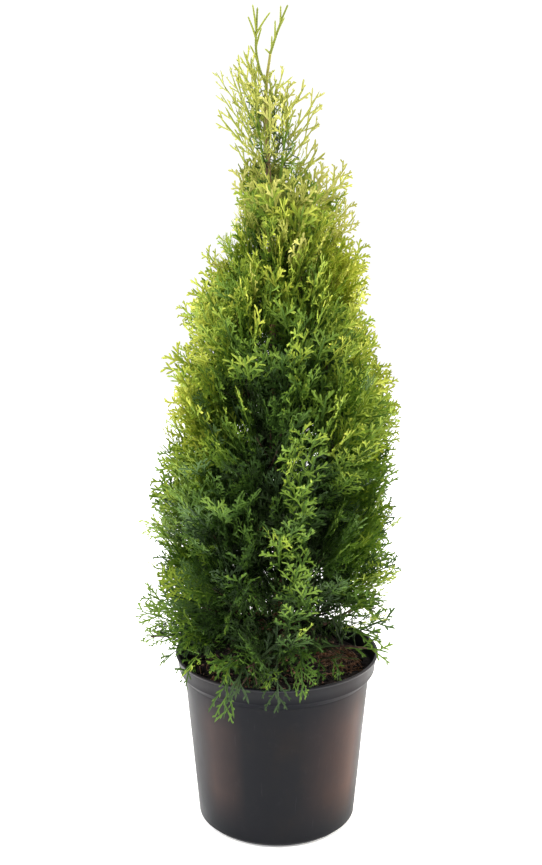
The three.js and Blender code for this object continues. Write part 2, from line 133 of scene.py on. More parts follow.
# Rings of foliage from the soil up, as in the part's source: how many masses, azimuth of the first, where
# its limb leaves the trunk and how thick, where its bough forks if it has one (share of the outline's radius,
# height), the same for the stem's end, the stretch of outline that the twigs reach, their number, and the
# stretch of stem that they leave. hangs: the outermost twigs reach the lowest spots.
RINGS = [
    dict(name="skirt", count=6, turn=-98, leave=240, radius=3.2, crest=(0.94, 286),
         low=232, high=312, twigs=5, start=0.34, end=0.97, hangs=True),
    dict(name="low", count=6, turn=-68, leave=252, radius=4.6, fork=(0.3, 296), crest=(0.56, 428),
         low=346, high=492, twigs=8, start=0.08, end=0.85),
    dict(name="middle", count=6, turn=-98, leave=382, radius=4.2, fork=(0.3, 436), crest=(0.54, 578),
         low=490, high=644, twigs=8, start=0.08, end=0.85),
    dict(name="upper", count=5, turn=-62, leave=528, radius=3.6, fork=(0.3, 584), crest=(0.52, 708),
         low=640, high=774, twigs=8, start=0.08, end=0.85),
    dict(name="shoulder", count=4, turn=-5, leave=660, radius=2.8, crest=(0.44, 828),
         low=768, high=896, twigs=7, start=0.2, end=0.9),
    dict(name="neck", count=3, turn=-20, leave=812, radius=2.2, crest=(0.36, 962),
         low=884, high=1036, twigs=7, start=0.3, end=0.95),
]

# Twigs that reach further than the rest of their mass, as in the part's source: its name, then azimuth,
# height, and share of the outline's radius. Three of them droop over the front of the rim.
REACHING = [
    ("skirt_foliage_1", -110, 213, 0.97), ("skirt_foliage_1", -92, 225, 0.97),
    ("skirt_foliage_1", -79, 230, 0.97), ("skirt_foliage_6", 188, 290, 0.98),
]

# How each ring grows finer. finer: sprays on each twig. over: radius on the outline that they cover. reach:
# how far out their tips lie, as a share of the outline's radius. less: how much of that a spray may fall
# short. habits: shares of the four habits among the sprays. inner: shaded sprays on each mass's own limb.
GROWTH = {
    "skirt": dict(finer=12, over=22, reach=0.96, less=0.5, habits=(0.25, 0.75, 0, 0), inner=20),
    "low": dict(finer=21, over=40, reach=0.95, less=0.5, habits=(0.55, 0.3, 0.15, 0), inner=42),
    "middle": dict(finer=21, over=40, reach=0.93, less=0.5, habits=(0.65, 0.1, 0.25, 0), inner=18),
    "upper": dict(finer=19, over=38, reach=0.92, less=0.5, habits=(0.5, 0.1, 0.4, 0), inner=14),
    "shoulder": dict(finer=15, over=30, reach=0.86, less=0.6, habits=(0.3, 0.1, 0.45, 0.15), inner=8),
    "neck": dict(finer=6, over=22, reach=0.76, less=0.8, habits=(0, 0, 0.4, 0.6), inner=18),
}

# The two shoots at the top, longer here by their own leaves: stem's line, radius at its foot, and its prongs,
# each by the share of the stem where it leaves and its tip.
SHOOTS = [
    dict(name="leader", line=[[-9, 0, 1040], [-1, 0, 1064], [6, 0, 1083], [13, 0, 1099]], radius=2,
         prongs=[(0.0, (-16, -2, 1046)), (0.08, (-7, 4, 1062)), (0.3, (-3, -7, 1080)), (0.4, (9, 6, 1084)),
                 (0.62, (4, 1, 1098))]),
    dict(name="side_leader", radius=2.1,
         line=[[-14, 0, 1002], [-22, 1, 1020], [-27, 2, 1046], [-26, 2, 1078], [-25, 2, 1096]],
         prongs=[(0.1, (-28, 0, 1024)), (0.3, (-34, -3, 1050)), (0.5, (-20, 8, 1072)), (0.62, (-37, 2, 1085)),
                 (0.66, (-9, 0, 1090)), (0.72, (-31, -2, 1099))]),
]
PRONG_THICKNESS = 0.8  # share of its shoot's
SCALE_LENGTH = 1.6  # of the scale leaves round a shoot

# ---------------------------------------------------------------- looks of the crown
# Leaf colours from shade to full sun, then bluish ones, and pale ones of the youngest growth. They are dealt
# out by spray and by twiglet. The last is for dry leaves on the soil.
LEAF_COLORS = [
    (32, 44, 20), (41, 59, 24), (53, 79, 28), (75, 104, 35), (101, 128, 41), (135, 154, 50), (166, 174, 62),
    (194, 196, 88), (46, 66, 34), (76, 102, 52), (112, 122, 46), (136, 144, 56), (160, 163, 74),
    (182, 181, 98), (90, 60, 34),
]
SUNNIEST = 7
BLUISH = 8
PALE = 10
DRY = 14
TONE_RANGE = 1.8  # levels of leaf colour between a spray's foot and its outer edge
SHADED = 4  # how many levels darker a spray would be at the bottom of a whole hollow
SHADE_OF_DEPTH = 3.4  # the same for a spray that ends at the trunk
GREEN_TWIG = 4  # leaf colour of twigs that are still green, and the height above which they are
GREEN_ABOVE = 790

# Habits of a spray, in millimetres and degrees: spacing of its branchlets, their length on a spray of
# SPRAY_LENGTH and where along it they are longest, their angle, spacing and length of the twiglets on them,
# and width of all.
SPRAY_LENGTH = 80
SIZES = [52, 84]  # lengths that sprays are grown at, and then scaled from
HABITS = {
    "fan": dict(spacing=7.6, reach=32, widest=0.36, angle=45, gap=5.6, twiglet=13, width=2.5),
    "open": dict(spacing=9.5, reach=36, widest=0.4, angle=40, gap=8, twiglet=11, width=2.6),
    "plume": dict(spacing=9, reach=24, widest=0.4, angle=40, gap=6.4, twiglet=12, width=2.5),
    "wisp": dict(spacing=14, reach=22, widest=0.55, angle=29, gap=12, twiglet=7.5, width=2.2),
}
TWIGLET_ANGLE = 38
TWIGLET_FOOT = 3.5  # where the first twiglet leaves its branchlet
SHORTEST_BRANCH = 7
RIDGE = 0.22  # how high a strand's middle stands above its edges, as a share of its width
KINDS = 10  # different sprays of each habit and size
SPRAY_LENGTHS = (40, 98)
LONGEST_SHARE = 0.97  # of the way from where a spray's twig leaves to the spray's tip
STEEPENING = 0.9  # weight of the rise in a spray's direction, against that of its twig
FURTHER_TURNS = (0, 30, -30, 60, -60, 90)  # degrees, tried in turn until a spray clears the pot and the soil
CLEARANCE = 1  # millimetres between them
STALK_RADII = (0.9, 0.7)  # of the stalk that carries a spray
TWIG_RADII = (1.1, 0.6)
TWIG_SHARE = 0.45  # how far a twig goes towards the spot that its sprays cover
BARE_FOOT = 0.25  # share of a twig that no spray leaves from
TURN_VARIES = 24  # spread of a spray's turn, of its level of leaf colour and of its curl
LEVEL_VARIES = 0.6
CURL_VARIES = 0.04

# By height: how sunny the leaves are, as a level of the leaf colours, and how much darker inside the crown;
# how much the tips of sprays are curled up, as a share of their length (low ones hang); how steeply sprays
# stand, in degrees; and the shares of bluish and of pale sprays.
LEVELS = [(200, 2.9), (330, 2.9), (500, 3.1), (680, 4.0), (820, 5.0), (950, 4.9), (PLANT_TOP, 5.1)]
DIMNESS = [(200, 1.8), (780, 1.8), (900, 0.5), (PLANT_TOP, 0)]
CURLS = [(200, -0.22), (280, -0.1), (340, 0.06), (600, 0.12), (PLANT_TOP, 0.14)]
RISES = [(200, -14), (290, 0), (350, 24), (470, 44), (680, 56), (950, 66), (PLANT_TOP, 70)]
BLUISHNESS = [(200, 0.25), (400, 0.2), (560, 0.1), (660, 0)]
PALENESS = [(760, 0), (840, 0.2), (910, 0.85), (960, 1)]

# Where the crown's surface falls back, and where it shows more sun: azimuth, height, half width in degrees,
# half height, and by what share of the radius or how many levels of leaf colour. Where the last is negative,
# the surface stands out or is darker.
HOLLOWS = [
    (-98, 575, 9, 70, 0.5), (-93, 450, 5, 60, 0.3), (-73, 585, 4, 50, 0.45), (-64, 465, 8, 65, 0.42),
    (-63, 350, 12, 40, 0.45), (-60, 670, 8, 26, 0.25), (-112, 620, 7, 50, 0.25), (-124, 420, 6, 60, 0.25),
    (0, 955, 50, 26, 0.18), (0, 880, 40, 26, 0.08), (180, 880, 40, 26, 0.14), (0, 730, 40, 26, 0.05),
    (-4, 486, 40, 28, 0.07), (180, 350, 30, 30, 0.08), (180, 663, 30, 26, 0.08), (180, 432, 30, 26, -0.06),
    (0, 358, 24, 26, -0.06),
]
SUNNY = [
    (-8, 560, 32, 500, 0.95), (-8, 400, 32, 90, 0.6), (-8, 760, 40, 60, 0.9), (-162, 650, 42, 110, 1.6),
    (-162, 560, 42, 60, 1), (-162, 370, 42, 70, 1.2), (-140, 345, 30, 60, 0.4), (-60, 330, 60, 60, -0.4),
    (-95, 450, 44, 230, -1.1), (-90, 650, 34, 70, -0.5), (-58, 600, 13, 60, 1.1),
]
# Where sprays are left out so that soil and sky show: the same, with the chance of it.
BARE = [
    (-42, 262, 19, 46, 1.2), (46, 262, 26, 44, 1.2), (-120, 250, 9, 22, 0.8), (200, 232, 38, 26, 1.6),
    (-52, 350, 9, 17, 1.4), (0, 292, 22, 18, 1.2), (54, 245, 14, 24, 1.4), (-88, 242, 24, 20, 0.8),
    (0, 1035, 400, 40, 0.8), (0, 900, 70, 45, 1.1), (-4, 256, 26, 22, 1.1),
]
NO_TWIG = 0.5  # chance of a bare spot from which its twig is left out too

# The bright column of steep sprays that stands out of the crown's front: azimuth, height and level of the
# leaf colours at its top, and how much they change to its foot. Each spray leaves some way below its tip and
# at a share of the outline's radius, reaches a share between two, and is turned to one side or the other.
COLUMN = dict(sprays=26, azimuth=-83, aside=8, height=606, down=276, level=3.8, fade=1.3, below=46, leave=0.6,
              reach=(0.9, 1), turn=60, curl=0.1, rise=60, azimuth_varies=4, turn_varies=20, level_varies=0.5)

# Shaded sprays inside the crown: the stretch of limb that they leave, how far above that they end and at what
# share of the outline's radius, the shortest reach, how much their turn varies, and their share of DIMNESS.
INSIDE = dict(leave=(0.12, 0.9), above=(-14, 55), reach=(0.35, 0.72), shortest=30, turn=50, dim=(0.6, 1.4),
              share=0.95)

# Sprays that stand out of the rest, by ring: the spot where the twig leaves, tip, habit, turn about its line,
# level of the leaf colours, and a hue where that isn't left to chance.
STANDING_OUT = {
    "neck": [
        ((-22, 0, 990), (-42, -4, 1045), "wisp", 20, 4.6), ((-20, 2, 975), (-48, 6, 1033), "wisp", -30, 4.4),
        ((-17, -2, 985), (-33, -8, 1037), "wisp", 40, 4.6),
        ((-34, -3, 958), (-74, -8, 1021), "wisp", 40, 4.4), ((-30, 4, 952), (-63, 12, 1022), "wisp", 30, 4.4),
        ((-22, -6, 940), (-52, -12, 1012), "wisp", 50, 4.4),
        ((-34, -4, 944), (-77, -8, 988), "wisp", 50, 4.4), ((-30, -6, 926), (-66, -10, 976), "wisp", 30, 4.2),
        ((-28, 0, 914), (-77, 4, 960), "wisp", 30, 4.2), ((-24, 4, 900), (-54, 8, 948), "plume", 50, 4.2),
        ((-28, 0, 884), (-58, 4, 930), "wisp", 20, 4.2), ((-12, -6, 965), (9, -8, 1023), "wisp", 0, 5),
        ((-8, 6, 950), (1, 10, 1010), "wisp", -30, 5), ((-4, 0, 940), (34, 4, 999), "wisp", 8, 5),
        ((2, -4, 922), (54, -8, 995), "wisp", -12, 5), ((4, 4, 915), (52, 8, 980), "wisp", 20, 5),
        ((2, 0, 900), (52, 6, 958), "wisp", 10, 5), ((6, -4, 872), (47, -8, 934), "wisp", 8, 5),
        ((10, 4, 866), (52, 6, 926), "wisp", 8, 5), ((-8, -20, 930), (-12, -34, 992), "plume", 60, 5.8),
        ((-14, 20, 930), (-16, 40, 985), "plume", 60, 5.8),
    ],
    "shoulder": [
        ((40, -4, 832), (86, -10, 906), "plume", 12, 6), ((44, 6, 826), (92, 12, 892), "plume", 0, 6),
        ((38, -14, 826), (58, -20, 906), "plume", 20, 6),
        ((-28, -10, 840), (-51, -16, 898), "plume", 10, 5.6),
        ((-26, 6, 822), (-47, 10, 880), "plume", 10, 5.4),
    ],
    "upper": [
        ((56, -10, 742), (112, -14, 806), "plume", 10, 5.6), ((60, 8, 720), (112, 12, 786), "fan", 0, 5.4),
        ((48, 0, 780), (102, 0, 842), "plume", 0, 5.8), ((40, -14, 798), (94, -20, 860), "plume", 20, 5.8),
        ((-46, 0, 732), (-92, 0, 796), "plume", 6, 5.4), ((-70, 4, 676), (-127, 4, 724), "plume", 0, 5.6),
        ((-62, -8, 700), (-110, -12, 748), "plume", 10, 5.6),
        ((-84, -14, 620), (-138, -20, 670), "fan", 10, 5.2),
    ],
    "middle": [
        ((92, -8, 586), (143, -10, 650), "fan", 10, 5.2), ((100, 6, 560), (152, 8, 628), "fan", 0, 5.2),
        ((96, -20, 540), (154, -28, 602), "fan", 16, 5),
    ],
    "skirt": [
        ((-105, -40, 284), (-186, -52, 314), "fan", 12, 3.2),
        ((-104, -30, 292), (-180, -32, 336), "fan", 6, 3.4),
        ((-106, -52, 276), (-178, -72, 284), "fan", 20, 3),
        ((-112, -66, 280), (-158, -96, 262), "fan", 30, 2.8),
        ((92, -56, 268), (152, -62, 262), "open", 30, 3.2),
        ((96, -40, 276), (158, -30, 300), "open", 20, 3.4), ((84, -44, 290), (142, -60, 282), "open", 50, 3),
        ((-60, -104, 278), (-70, -168, 217), "open", 80, 2.2),
        ((-40, -106, 276), (-48, -164, 234), "open", 70, 1.8),
        ((0, -104, 280), (2, -167, 228), "open", 88, 2.2, "bluish"),
        ((30, -104, 294), (38, -161, 240), "fan", 24, 2.6, None),
        ((16, -84, 300), (34, -146, 270), "open", 60, 2.4),
    ],
    "low": [
        ((-6, -30, 284), (-16, -62, 348), "fan", 90, 1.8), ((4, -30, 270), (10, -56, 340), "fan", 80, 1.6),
        ((-14, -20, 262), (-34, -50, 326), "fan", 100, 1.8),
        ((-24, -24, 280), (-40, -44, 352), "fan", 90, 1.8), ((-6, -30, 316), (-4, -52, 392), "fan", 90, 2),
    ],
}
STANDING_OUT_SHARE = 0.92  # how much of its way from that spot to its tip such a spray covers

# ---------------------------------------------------------------- looks of the soil and the room
CRUMBS = 1500
CRUMB_SIZES = (0.8, 3.2)  # radius
BARK_CRUMBS = 0.12  # share of the crumbs
LITTER_RADIUS = 124  # of the soil that they lie on
FIBRES = 420
FIBRE_HALVES = (4, 13)  # half of a fibre's length
FIBRE_RADII = (0.35, 0.8)
THICK_PATCH = dict(share=0.6, azimuth=14, spread=14, near=62, far=114)  # where most of the fibres lie
DRY_TWIGS = 34
DRY_TWIG_LENGTHS = (34, 72)
DRY_TWIG_RISE = (8, 110)  # height above the soil where they leave the trunk
FRONT_TWIGS = 0.7  # share of them that lie within these azimuths
FRONT = (-160, -60)

# The room's light from in front of the plant (0) past its sides (0.5) to behind it (1).
ROOM = [(0.1, (0.16, 0.17, 0.19, 1)), (0.5, (0.34, 0.32, 0.31, 1)), (0.72, 0.9), (0.95, 1)]
ROOM_STRENGTH = 1.5
BACKDROP_STRENGTH = 1.05  # of the white that the camera sees
FLOOR_HALF = 3000  # half of its side

# In metres and watts.
SOFTBOXES = {
    "left_softbox": dict(place=(-1.9, -0.3, 1.4), size=(1.2, 1.6), power=66, color=(1, 1, 0.97)),
    "right_softbox": dict(place=(1.9, -0.2, 1.3), size=(0.9, 1.6), power=66, color=(1, 0.96, 0.88)),
    "top_softbox": dict(place=(0.1, -0.2, 2.8), size=(2, 2), power=105, color=(1, 1, 0.98)),
}
SOFTBOX_AIM = (0, 0, 0.55)
CAMERA_PLACE = (-0.0081, -1.795, 0.978)
CAMERA_DIP = 13.36  # degrees below level
CAMERA_LENS = 57.47  # millimetres, on a sensor this wide
CAMERA_SENSOR = 36

rng = np.random.default_rng(20)


# ---------------------------------------------------------------- curves
def unit(vector):
    return vector / np.linalg.norm(vector)


def smooth(points, steps=16):
    """Spots on the centripetal curve through some points, a number of steps to each stretch."""
    points = np.asarray(points, float)
    ends = [2 * points[0] - points[1], *points, 2 * points[-1] - points[-2]]
    share = np.linspace(0, 1, steps, endpoint=False)[:, None]
    line = []
    for before, a, b, after in zip(ends, ends[1:], ends[2:], ends[3:]):
        d0, d1, d2 = (math.sqrt(np.linalg.norm(q - p)) for p, q in ((before, a), (a, b), (b, after)))
        leave = ((a - before) / d0 - (b - before) / (d0 + d1) + (b - a) / d1) * d1
        arrive = ((b - a) / d1 - (after - a) / (d1 + d2) + (after - b) / d2) * d1
        bend = 3 * (b - a) - 2 * leave - arrive
        turn = 2 * (a - b) + leave + arrive
        line.append(a + leave * share + bend * share ** 2 + turn * share ** 3)
    return np.vstack([*line, points[-1:]])


def length_of(line):
    return np.linalg.norm(np.diff(line, axis=0), axis=1).sum()


def along(line, share):
    """The spot or spots at a share of a line's length."""
    lengths = np.append(0, np.cumsum(np.linalg.norm(np.diff(line, axis=0), axis=1)))
    at = np.asarray(share) * lengths[-1]
    return np.stack([np.interp(at, lengths, line[:, axis]) for axis in range(3)], axis=-1)


def bent(start, corner, end, steps):
    """A line from start to end that is drawn towards a corner between them."""
    share = np.linspace(0, 1, steps)[:, None]
    return (1 - share) ** 2 * start + 2 * share * (1 - share) * corner + share ** 2 * end


def sagging(start, end, sag, steps):
    """A line that dips below its straight chord by a share of its length."""
    return bent(start, (start + end) / 2 - np.array([0, 0, sag * np.linalg.norm(end - start)]), end, steps)


def around(sides):
    """Angles of that many sides, in radians."""
    return np.arange(sides) * 2 * math.pi / sides


def facing(azimuth):
    """The level direction at an azimuth."""
    bearing = math.radians(azimuth)
    return np.array([math.cos(bearing), math.sin(bearing), 0])


# ---------------------------------------------------------------- meshes
class Heap:
    """Many small meshes of triangles, gathered to be joined into one piece."""

    def __init__(self):
        self.places, self.faces, self.tints, self.count = [], [], [], 0

    def add(self, places, faces, tints=0):
        self.places.append(places)
        self.faces.append(faces + self.count)
        self.tints.append(np.broadcast_to(tints, len(faces)))
        self.count += len(places)

    def piece(self, name, materials, rounded=False):
        return make_piece(name, np.vstack(self.places), np.vstack(self.faces), materials,
                          np.concatenate(self.tints), rounded)


def add_object(name, data):
    added = bpy.data.objects.new(name, data)
    bpy.context.scene.collection.objects.link(added)
    return added


def make_piece(name, places, faces, materials, tints=None, rounded=True):
    """A Blender object from places in millimetres and faces, with the number of a material for each face."""
    mesh = bpy.data.meshes.new(name)
    mesh.from_pydata((np.asarray(places) * MM).tolist(), [], faces.tolist())
    if tints is not None:
        mesh.polygons.foreach_set("material_index", tints.astype(np.int32))
    if rounded:
        mesh.shade_smooth()
    for material in materials:
        mesh.materials.append(material)
    mesh.validate()
    return add_object(name, mesh)


def dress(piece, slot, *nodes):
    """The piece rides with the plant and stands for some CAD nodes. Its slot is not used."""
    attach(piece, "root")
    if nodes:
        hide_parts(*nodes)


def grid_faces(rows, columns):
    """Triangles between rows of places that close on themselves."""
    row, column = np.meshgrid(np.arange(rows - 1), np.arange(columns), indexing="ij")
    a = (row * columns + column).ravel()
    b = (row * columns + (column + 1) % columns).ravel()
    return np.vstack([np.stack([a, b, b + columns], 1), np.stack([a, b + columns, a + columns], 1)])


def closed_grid_faces(rows, columns):
    """The same, with the last row joined to the first."""
    closing = grid_faces(2, columns)
    last = (rows - 1) * columns
    closing = np.where(closing < columns, closing + last, closing - columns)
    return np.vstack([grid_faces(rows, columns), closing])


def tube(line, radii, sides):
    """A closed tube of triangles along a line: radii has a row for each spot, with one or several columns."""
    tangents = np.gradient(line, axis=0)
    tangents /= np.linalg.norm(tangents, axis=1)[:, None]
    across = unit(np.cross(tangents[0], [0.31, 0.87, 0.38]))
    turns = around(sides)
    rings = []
    for spot, tangent, radius in zip(line, tangents, np.reshape(radii, (len(line), -1))):
        across = unit(across - tangent * np.dot(across, tangent))
        other = np.cross(tangent, across)
        circle = np.outer(np.cos(turns), across) + np.outer(np.sin(turns), other)
        rings.append(spot + circle * np.broadcast_to(radius, sides)[:, None])
    places = np.vstack([*rings, line[:1], line[-1:]])
    foot, tip = len(places) - 2, len(places) - 1
    ring = np.arange(sides)
    turned = np.roll(ring, -1)
    last = ring + (len(line) - 1) * sides
    caps = [np.stack([turned, ring, np.full(sides, foot)], 1),
            np.stack([last, np.roll(last, -1), np.full(sides, tip)], 1)]
    return places, np.vstack([grid_faces(len(line), sides), *caps])


# ---------------------------------------------------------------- materials
def linear(color):
    """A colour as linear red, green, blue and alpha: from its 0 to 255 values, from one number for a linear
    grey, or as it is."""
    if np.isscalar(color):
        return (color, color, color, 1)
    if len(color) == 4:
        return color
    shares = (value / 255 for value in color)
    return (*(s / 12.92 if s <= 0.04045 else ((s + 0.055) / 1.055) ** 2.4 for s in shares), 1)


def wire(node, inputs):
    """Sets a node's inputs, each to a constant or by a link from another node's output."""
    for key, value in inputs.items():
        if isinstance(value, bpy.types.NodeSocket):
            node.id_data.links.new(value, node.inputs[key])
        else:
            node.inputs[key].default_value = value
    return node


def add_node(tree, kind, inputs, operation=None):
    node = tree.nodes.new(f"ShaderNode{kind}")
    if operation:
        node.operation = operation
    return wire(node, inputs)


def new_material(name, color, roughness, specular=0.5):
    """A material, its tree and its shader. What is the same all over is set on the shader itself."""
    material = bpy.data.materials.new(name)
    material.use_nodes = True
    material.diffuse_color = linear(color)
    shader = material.node_tree.nodes["Principled BSDF"]
    wire(shader, {"Base Color": linear(color), "Roughness": roughness, "Specular IOR Level": specular})
    return material, material.node_tree, shader


def own_place(tree):
    """Places in the object's own frame, in metres."""
    return add_node(tree, "TexCoord", {}).outputs["Object"]


def noise(tree, scale, detail=4, stretch=(1, 1, 1), roughness=0.55):
    """A noise over the object's own places, scale to the metre, stretched along the axes."""
    mapping = add_node(tree, "Mapping", {"Vector": own_place(tree), "Scale": stretch})
    inputs = {"Vector": mapping.outputs["Vector"], "Scale": scale, "Detail": detail, "Roughness": roughness}
    return add_node(tree, "TexNoise", inputs).outputs["Fac"]


def ramp(tree, value, *stops):
    """A colour ramp over a value, from (place, colour) stops."""
    node = add_node(tree, "ValToRGB", {"Fac": value})
    while len(node.color_ramp.elements) < len(stops):
        node.color_ramp.elements.new(0.5)
    for element, (place, color) in zip(node.color_ramp.elements, stops):
        element.position = place
        element.color = linear(color)
    return node.outputs["Color"]


def mixed(tree, blend, share, first, second):
    """Two colours blended, by a constant share or a linked one."""
    node = add_node(tree, "Mix", {"Factor": share})
    node.data_type = "RGBA"
    node.blend_type = blend
    colors = [key for key, socket in enumerate(node.inputs) if socket.type == "RGBA"]
    wire(node, dict(zip(colors, (first, second))))
    return [socket for socket in node.outputs if socket.type == "RGBA"][0]


def laid_over(tree, base, color, mask, *stops):
    """A plain colour over another one, by a ramp over a mask."""
    return mixed(tree, "MIX", ramp(tree, mask, *stops), base, linear(color))


def object_axes(tree):
    """Sockets of the object's own X, Y and Z, in metres."""
    return add_node(tree, "SeparateXYZ", {"Vector": own_place(tree)}).outputs


def outward(tree):
    """Sockets of the direction from the object's upright axis, as X and Y parts of a length of 1."""
    level = add_node(tree, "VectorMath", {0: own_place(tree), 1: (1, 1, 0)}, "MULTIPLY")
    direction = add_node(tree, "VectorMath", {0: level.outputs["Vector"]}, "NORMALIZE")
    return add_node(tree, "SeparateXYZ", {"Vector": direction.outputs["Vector"]}).outputs


def scaled(tree, value, factor, offset):
    """A value times a factor, plus an offset."""
    return add_node(tree, "Math", {0: value, 1: factor, 2: offset}, "MULTIPLY_ADD").outputs[0]


def add_bump(tree, shader, height, depth, below=None):
    """Relief of some depth in millimetres, over another relief if there is one."""
    inputs = {"Strength": 1, "Distance": depth * MM, "Height": height}
    if below is not None:
        inputs["Normal"] = below
    relief = add_node(tree, "Bump", inputs).outputs["Normal"]
    wire(shader, {"Normal": relief})
    return relief


def make_plastic():
    """Dark polypropylene, satin, with handling smudges, some dust, fine upright scratches, and a painted
    reflection of warm light: a browner band to either side of the front."""
    material, tree, shader = new_material("pot_plastic_look", (16, 17, 22), 0.42, 0.1)
    smudges = noise(tree, 14, 5, (1, 1, 0.7), 0.6)
    dust = noise(tree, 46, 6, (1, 1, 1), 0.7)
    scratches = noise(tree, 260, 2, (1, 1, 0.03), 0.4)
    base = ramp(tree, smudges, (0.35, (9, 11, 18)), (0.55, (14, 15, 20)), (0.72, (25, 21, 21)))
    dusty = laid_over(tree, base, (88, 84, 84), dust, (0.58, 0), (0.8, 0.07))
    marked = laid_over(tree, dusty, (80, 78, 82), scratches, (0.7, 0), (0.78, 0.1))
    direction = outward(tree)
    across = scaled(tree, direction["X"], 0.5, 0.5)
    front = scaled(tree, direction["Y"], -0.5, 0.5)
    rise = scaled(tree, object_axes(tree)["Z"], 1 / (POT_HEIGHT * MM), 0)
    # Painted reflection of warm light: a browner band to either side of the front, warmer towards the right
    # edge.
    reflection_mask = ramp(tree, across, (0, 0), (0.06, 0.06), (0.14, 0.36), (0.32, 0), (0.62, 0), (0.84, 0.14),
                 (0.93, 0.26), (0.99, 0))
    # Where the painted reflection shows: only on the front half, fading towards the foot and the lip, broken
    # up by the smudges.
    reflection_fades = [
        ramp(tree, front, (0.5, 0), (0.62, 1)),
        ramp(tree, rise, (0.08, 0), (0.3, 1), (0.7, 1), (0.88, 0.16)),
        ramp(tree, smudges, (0.3, 0.6), (0.6, 1)),
    ]
    for mask in reflection_fades:
        reflection_mask = mixed(tree, "MULTIPLY", 1, reflection_mask, mask)
    # Colour of the painted reflection: warm brown, more orange towards the right edge.
    reflection_color = ramp(tree, across, (0.2, (86, 66, 60)), (0.8, (112, 76, 60)), (0.93, (130, 88, 68)))
    foot, head = COLLAR_FOOT / POT_HEIGHT, (COLLAR_FOOT + COLLAR_CHAMFER) / POT_HEIGHT
    sheen = ramp(tree, rise, (foot - 0.01, 0.1), (foot, 0.06), (head, 0.06), (head + 0.04, 0.14))
    wire(shader, {
        "Base Color": mixed(tree, "MIX", reflection_mask, marked, reflection_color),
        "Specular IOR Level": sheen,
        "Roughness": ramp(tree, smudges, (0.3, 0.34), (0.7, 0.5)),
    })
    grain = add_bump(tree, shader, noise(tree, 900, 2), 0.03)
    add_bump(tree, shader, scratches, 0.04, grain)
    return material


def make_peat():
    """Dark moist potting soil with lighter fibres in it."""
    material, tree, shader = new_material("soil_look", (38, 29, 24), 0.95, 0.2)
    clods = noise(tree, 120, 8, roughness=0.7)
    fibres = noise(tree, 400, 4, (1, 0.25, 1), 0.6)
    base = ramp(tree, clods, (0.3, (8, 6, 6)), (0.55, (24, 17, 15)), (0.75, (48, 33, 26)))
    wire(shader, {"Base Color": laid_over(tree, base, (96, 66, 46), fibres, (0.62, 0), (0.78, 0.35))})
    fine = add_bump(tree, shader, noise(tree, 900, 4), 0.5)
    add_bump(tree, shader, clods, 2.5, fine)
    return material


def make_bark():
    """Red-brown bark in long upright fibres, greyer on its ridges, and still green near the top."""
    material, tree, shader = new_material("bark_look", (104, 70, 50), 0.85, 0.25)
    fibres = noise(tree, 420, 6, (1, 1, 0.09), 0.65)
    patches = noise(tree, 60, 4, (1, 1, 0.4))
    base = ramp(tree, fibres, (0.3, (52, 34, 26)), (0.5, (104, 70, 50)), (0.7, (150, 116, 90)))
    weathered = laid_over(tree, base, (128, 112, 98), patches, (0.45, 0), (0.7, 0.55))
    rise = scaled(tree, object_axes(tree)["Z"], 1 / (PLANT_TOP * MM), 0)
    wire(shader, {"Base Color": laid_over(tree, weathered, (138, 134, 66), rise, (0.8, 0), (0.92, 1))})
    add_bump(tree, shader, fibres, 0.8)
    return material


def make_woody():
    """Thin bark of twigs: red-brown, with paler nodes."""
    material, tree, shader = new_material("twig_look", (58, 42, 34), 0.75, 0.2)
    patches = noise(tree, 160, 4)
    brown = ramp(tree, patches, (0.3, (38, 28, 23)), (0.5, (60, 43, 34)), (0.72, (88, 68, 53)))
    wire(shader, {"Base Color": brown})
    add_bump(tree, shader, noise(tree, 700, 3), 0.2)
    return material


def make_leaf_materials():
    return [new_material(f"leaf_{number}", color, 0.55, 0.2)[0] for number, color in enumerate(LEAF_COLORS)]


# ---------------------------------------------------------------- pot
def rounded_corners(profile, radius):
    """A profile with each inner corner cut back by a radius and rounded."""
    points = [profile[0]]
    for before, corner, after in zip(profile, profile[1:], profile[2:]):
        before, corner, after = (np.array(point, float) for point in (before, corner, after))
        cut = min(radius, np.linalg.norm(before - corner) / 2, np.linalg.norm(after - corner) / 2)
        start = corner + unit(before - corner) * cut
        points += list(bent(start, corner, corner + unit(after - corner) * cut, 4))
    return [*points, profile[-1]]


def turned(profile, sides):
    """Places of a profile of (radius, height) turned about +Z, row by row."""
    turns = around(sides)
    return np.vstack([np.stack([radius * np.cos(turns), radius * np.sin(turns), np.full(sides, height)], 1)
                      for radius, height in profile])


def body_radius(height):
    return BODY_BASE_RADIUS + (BODY_TOP_RADIUS - BODY_BASE_RADIUS) * height / COLLAR_FOOT


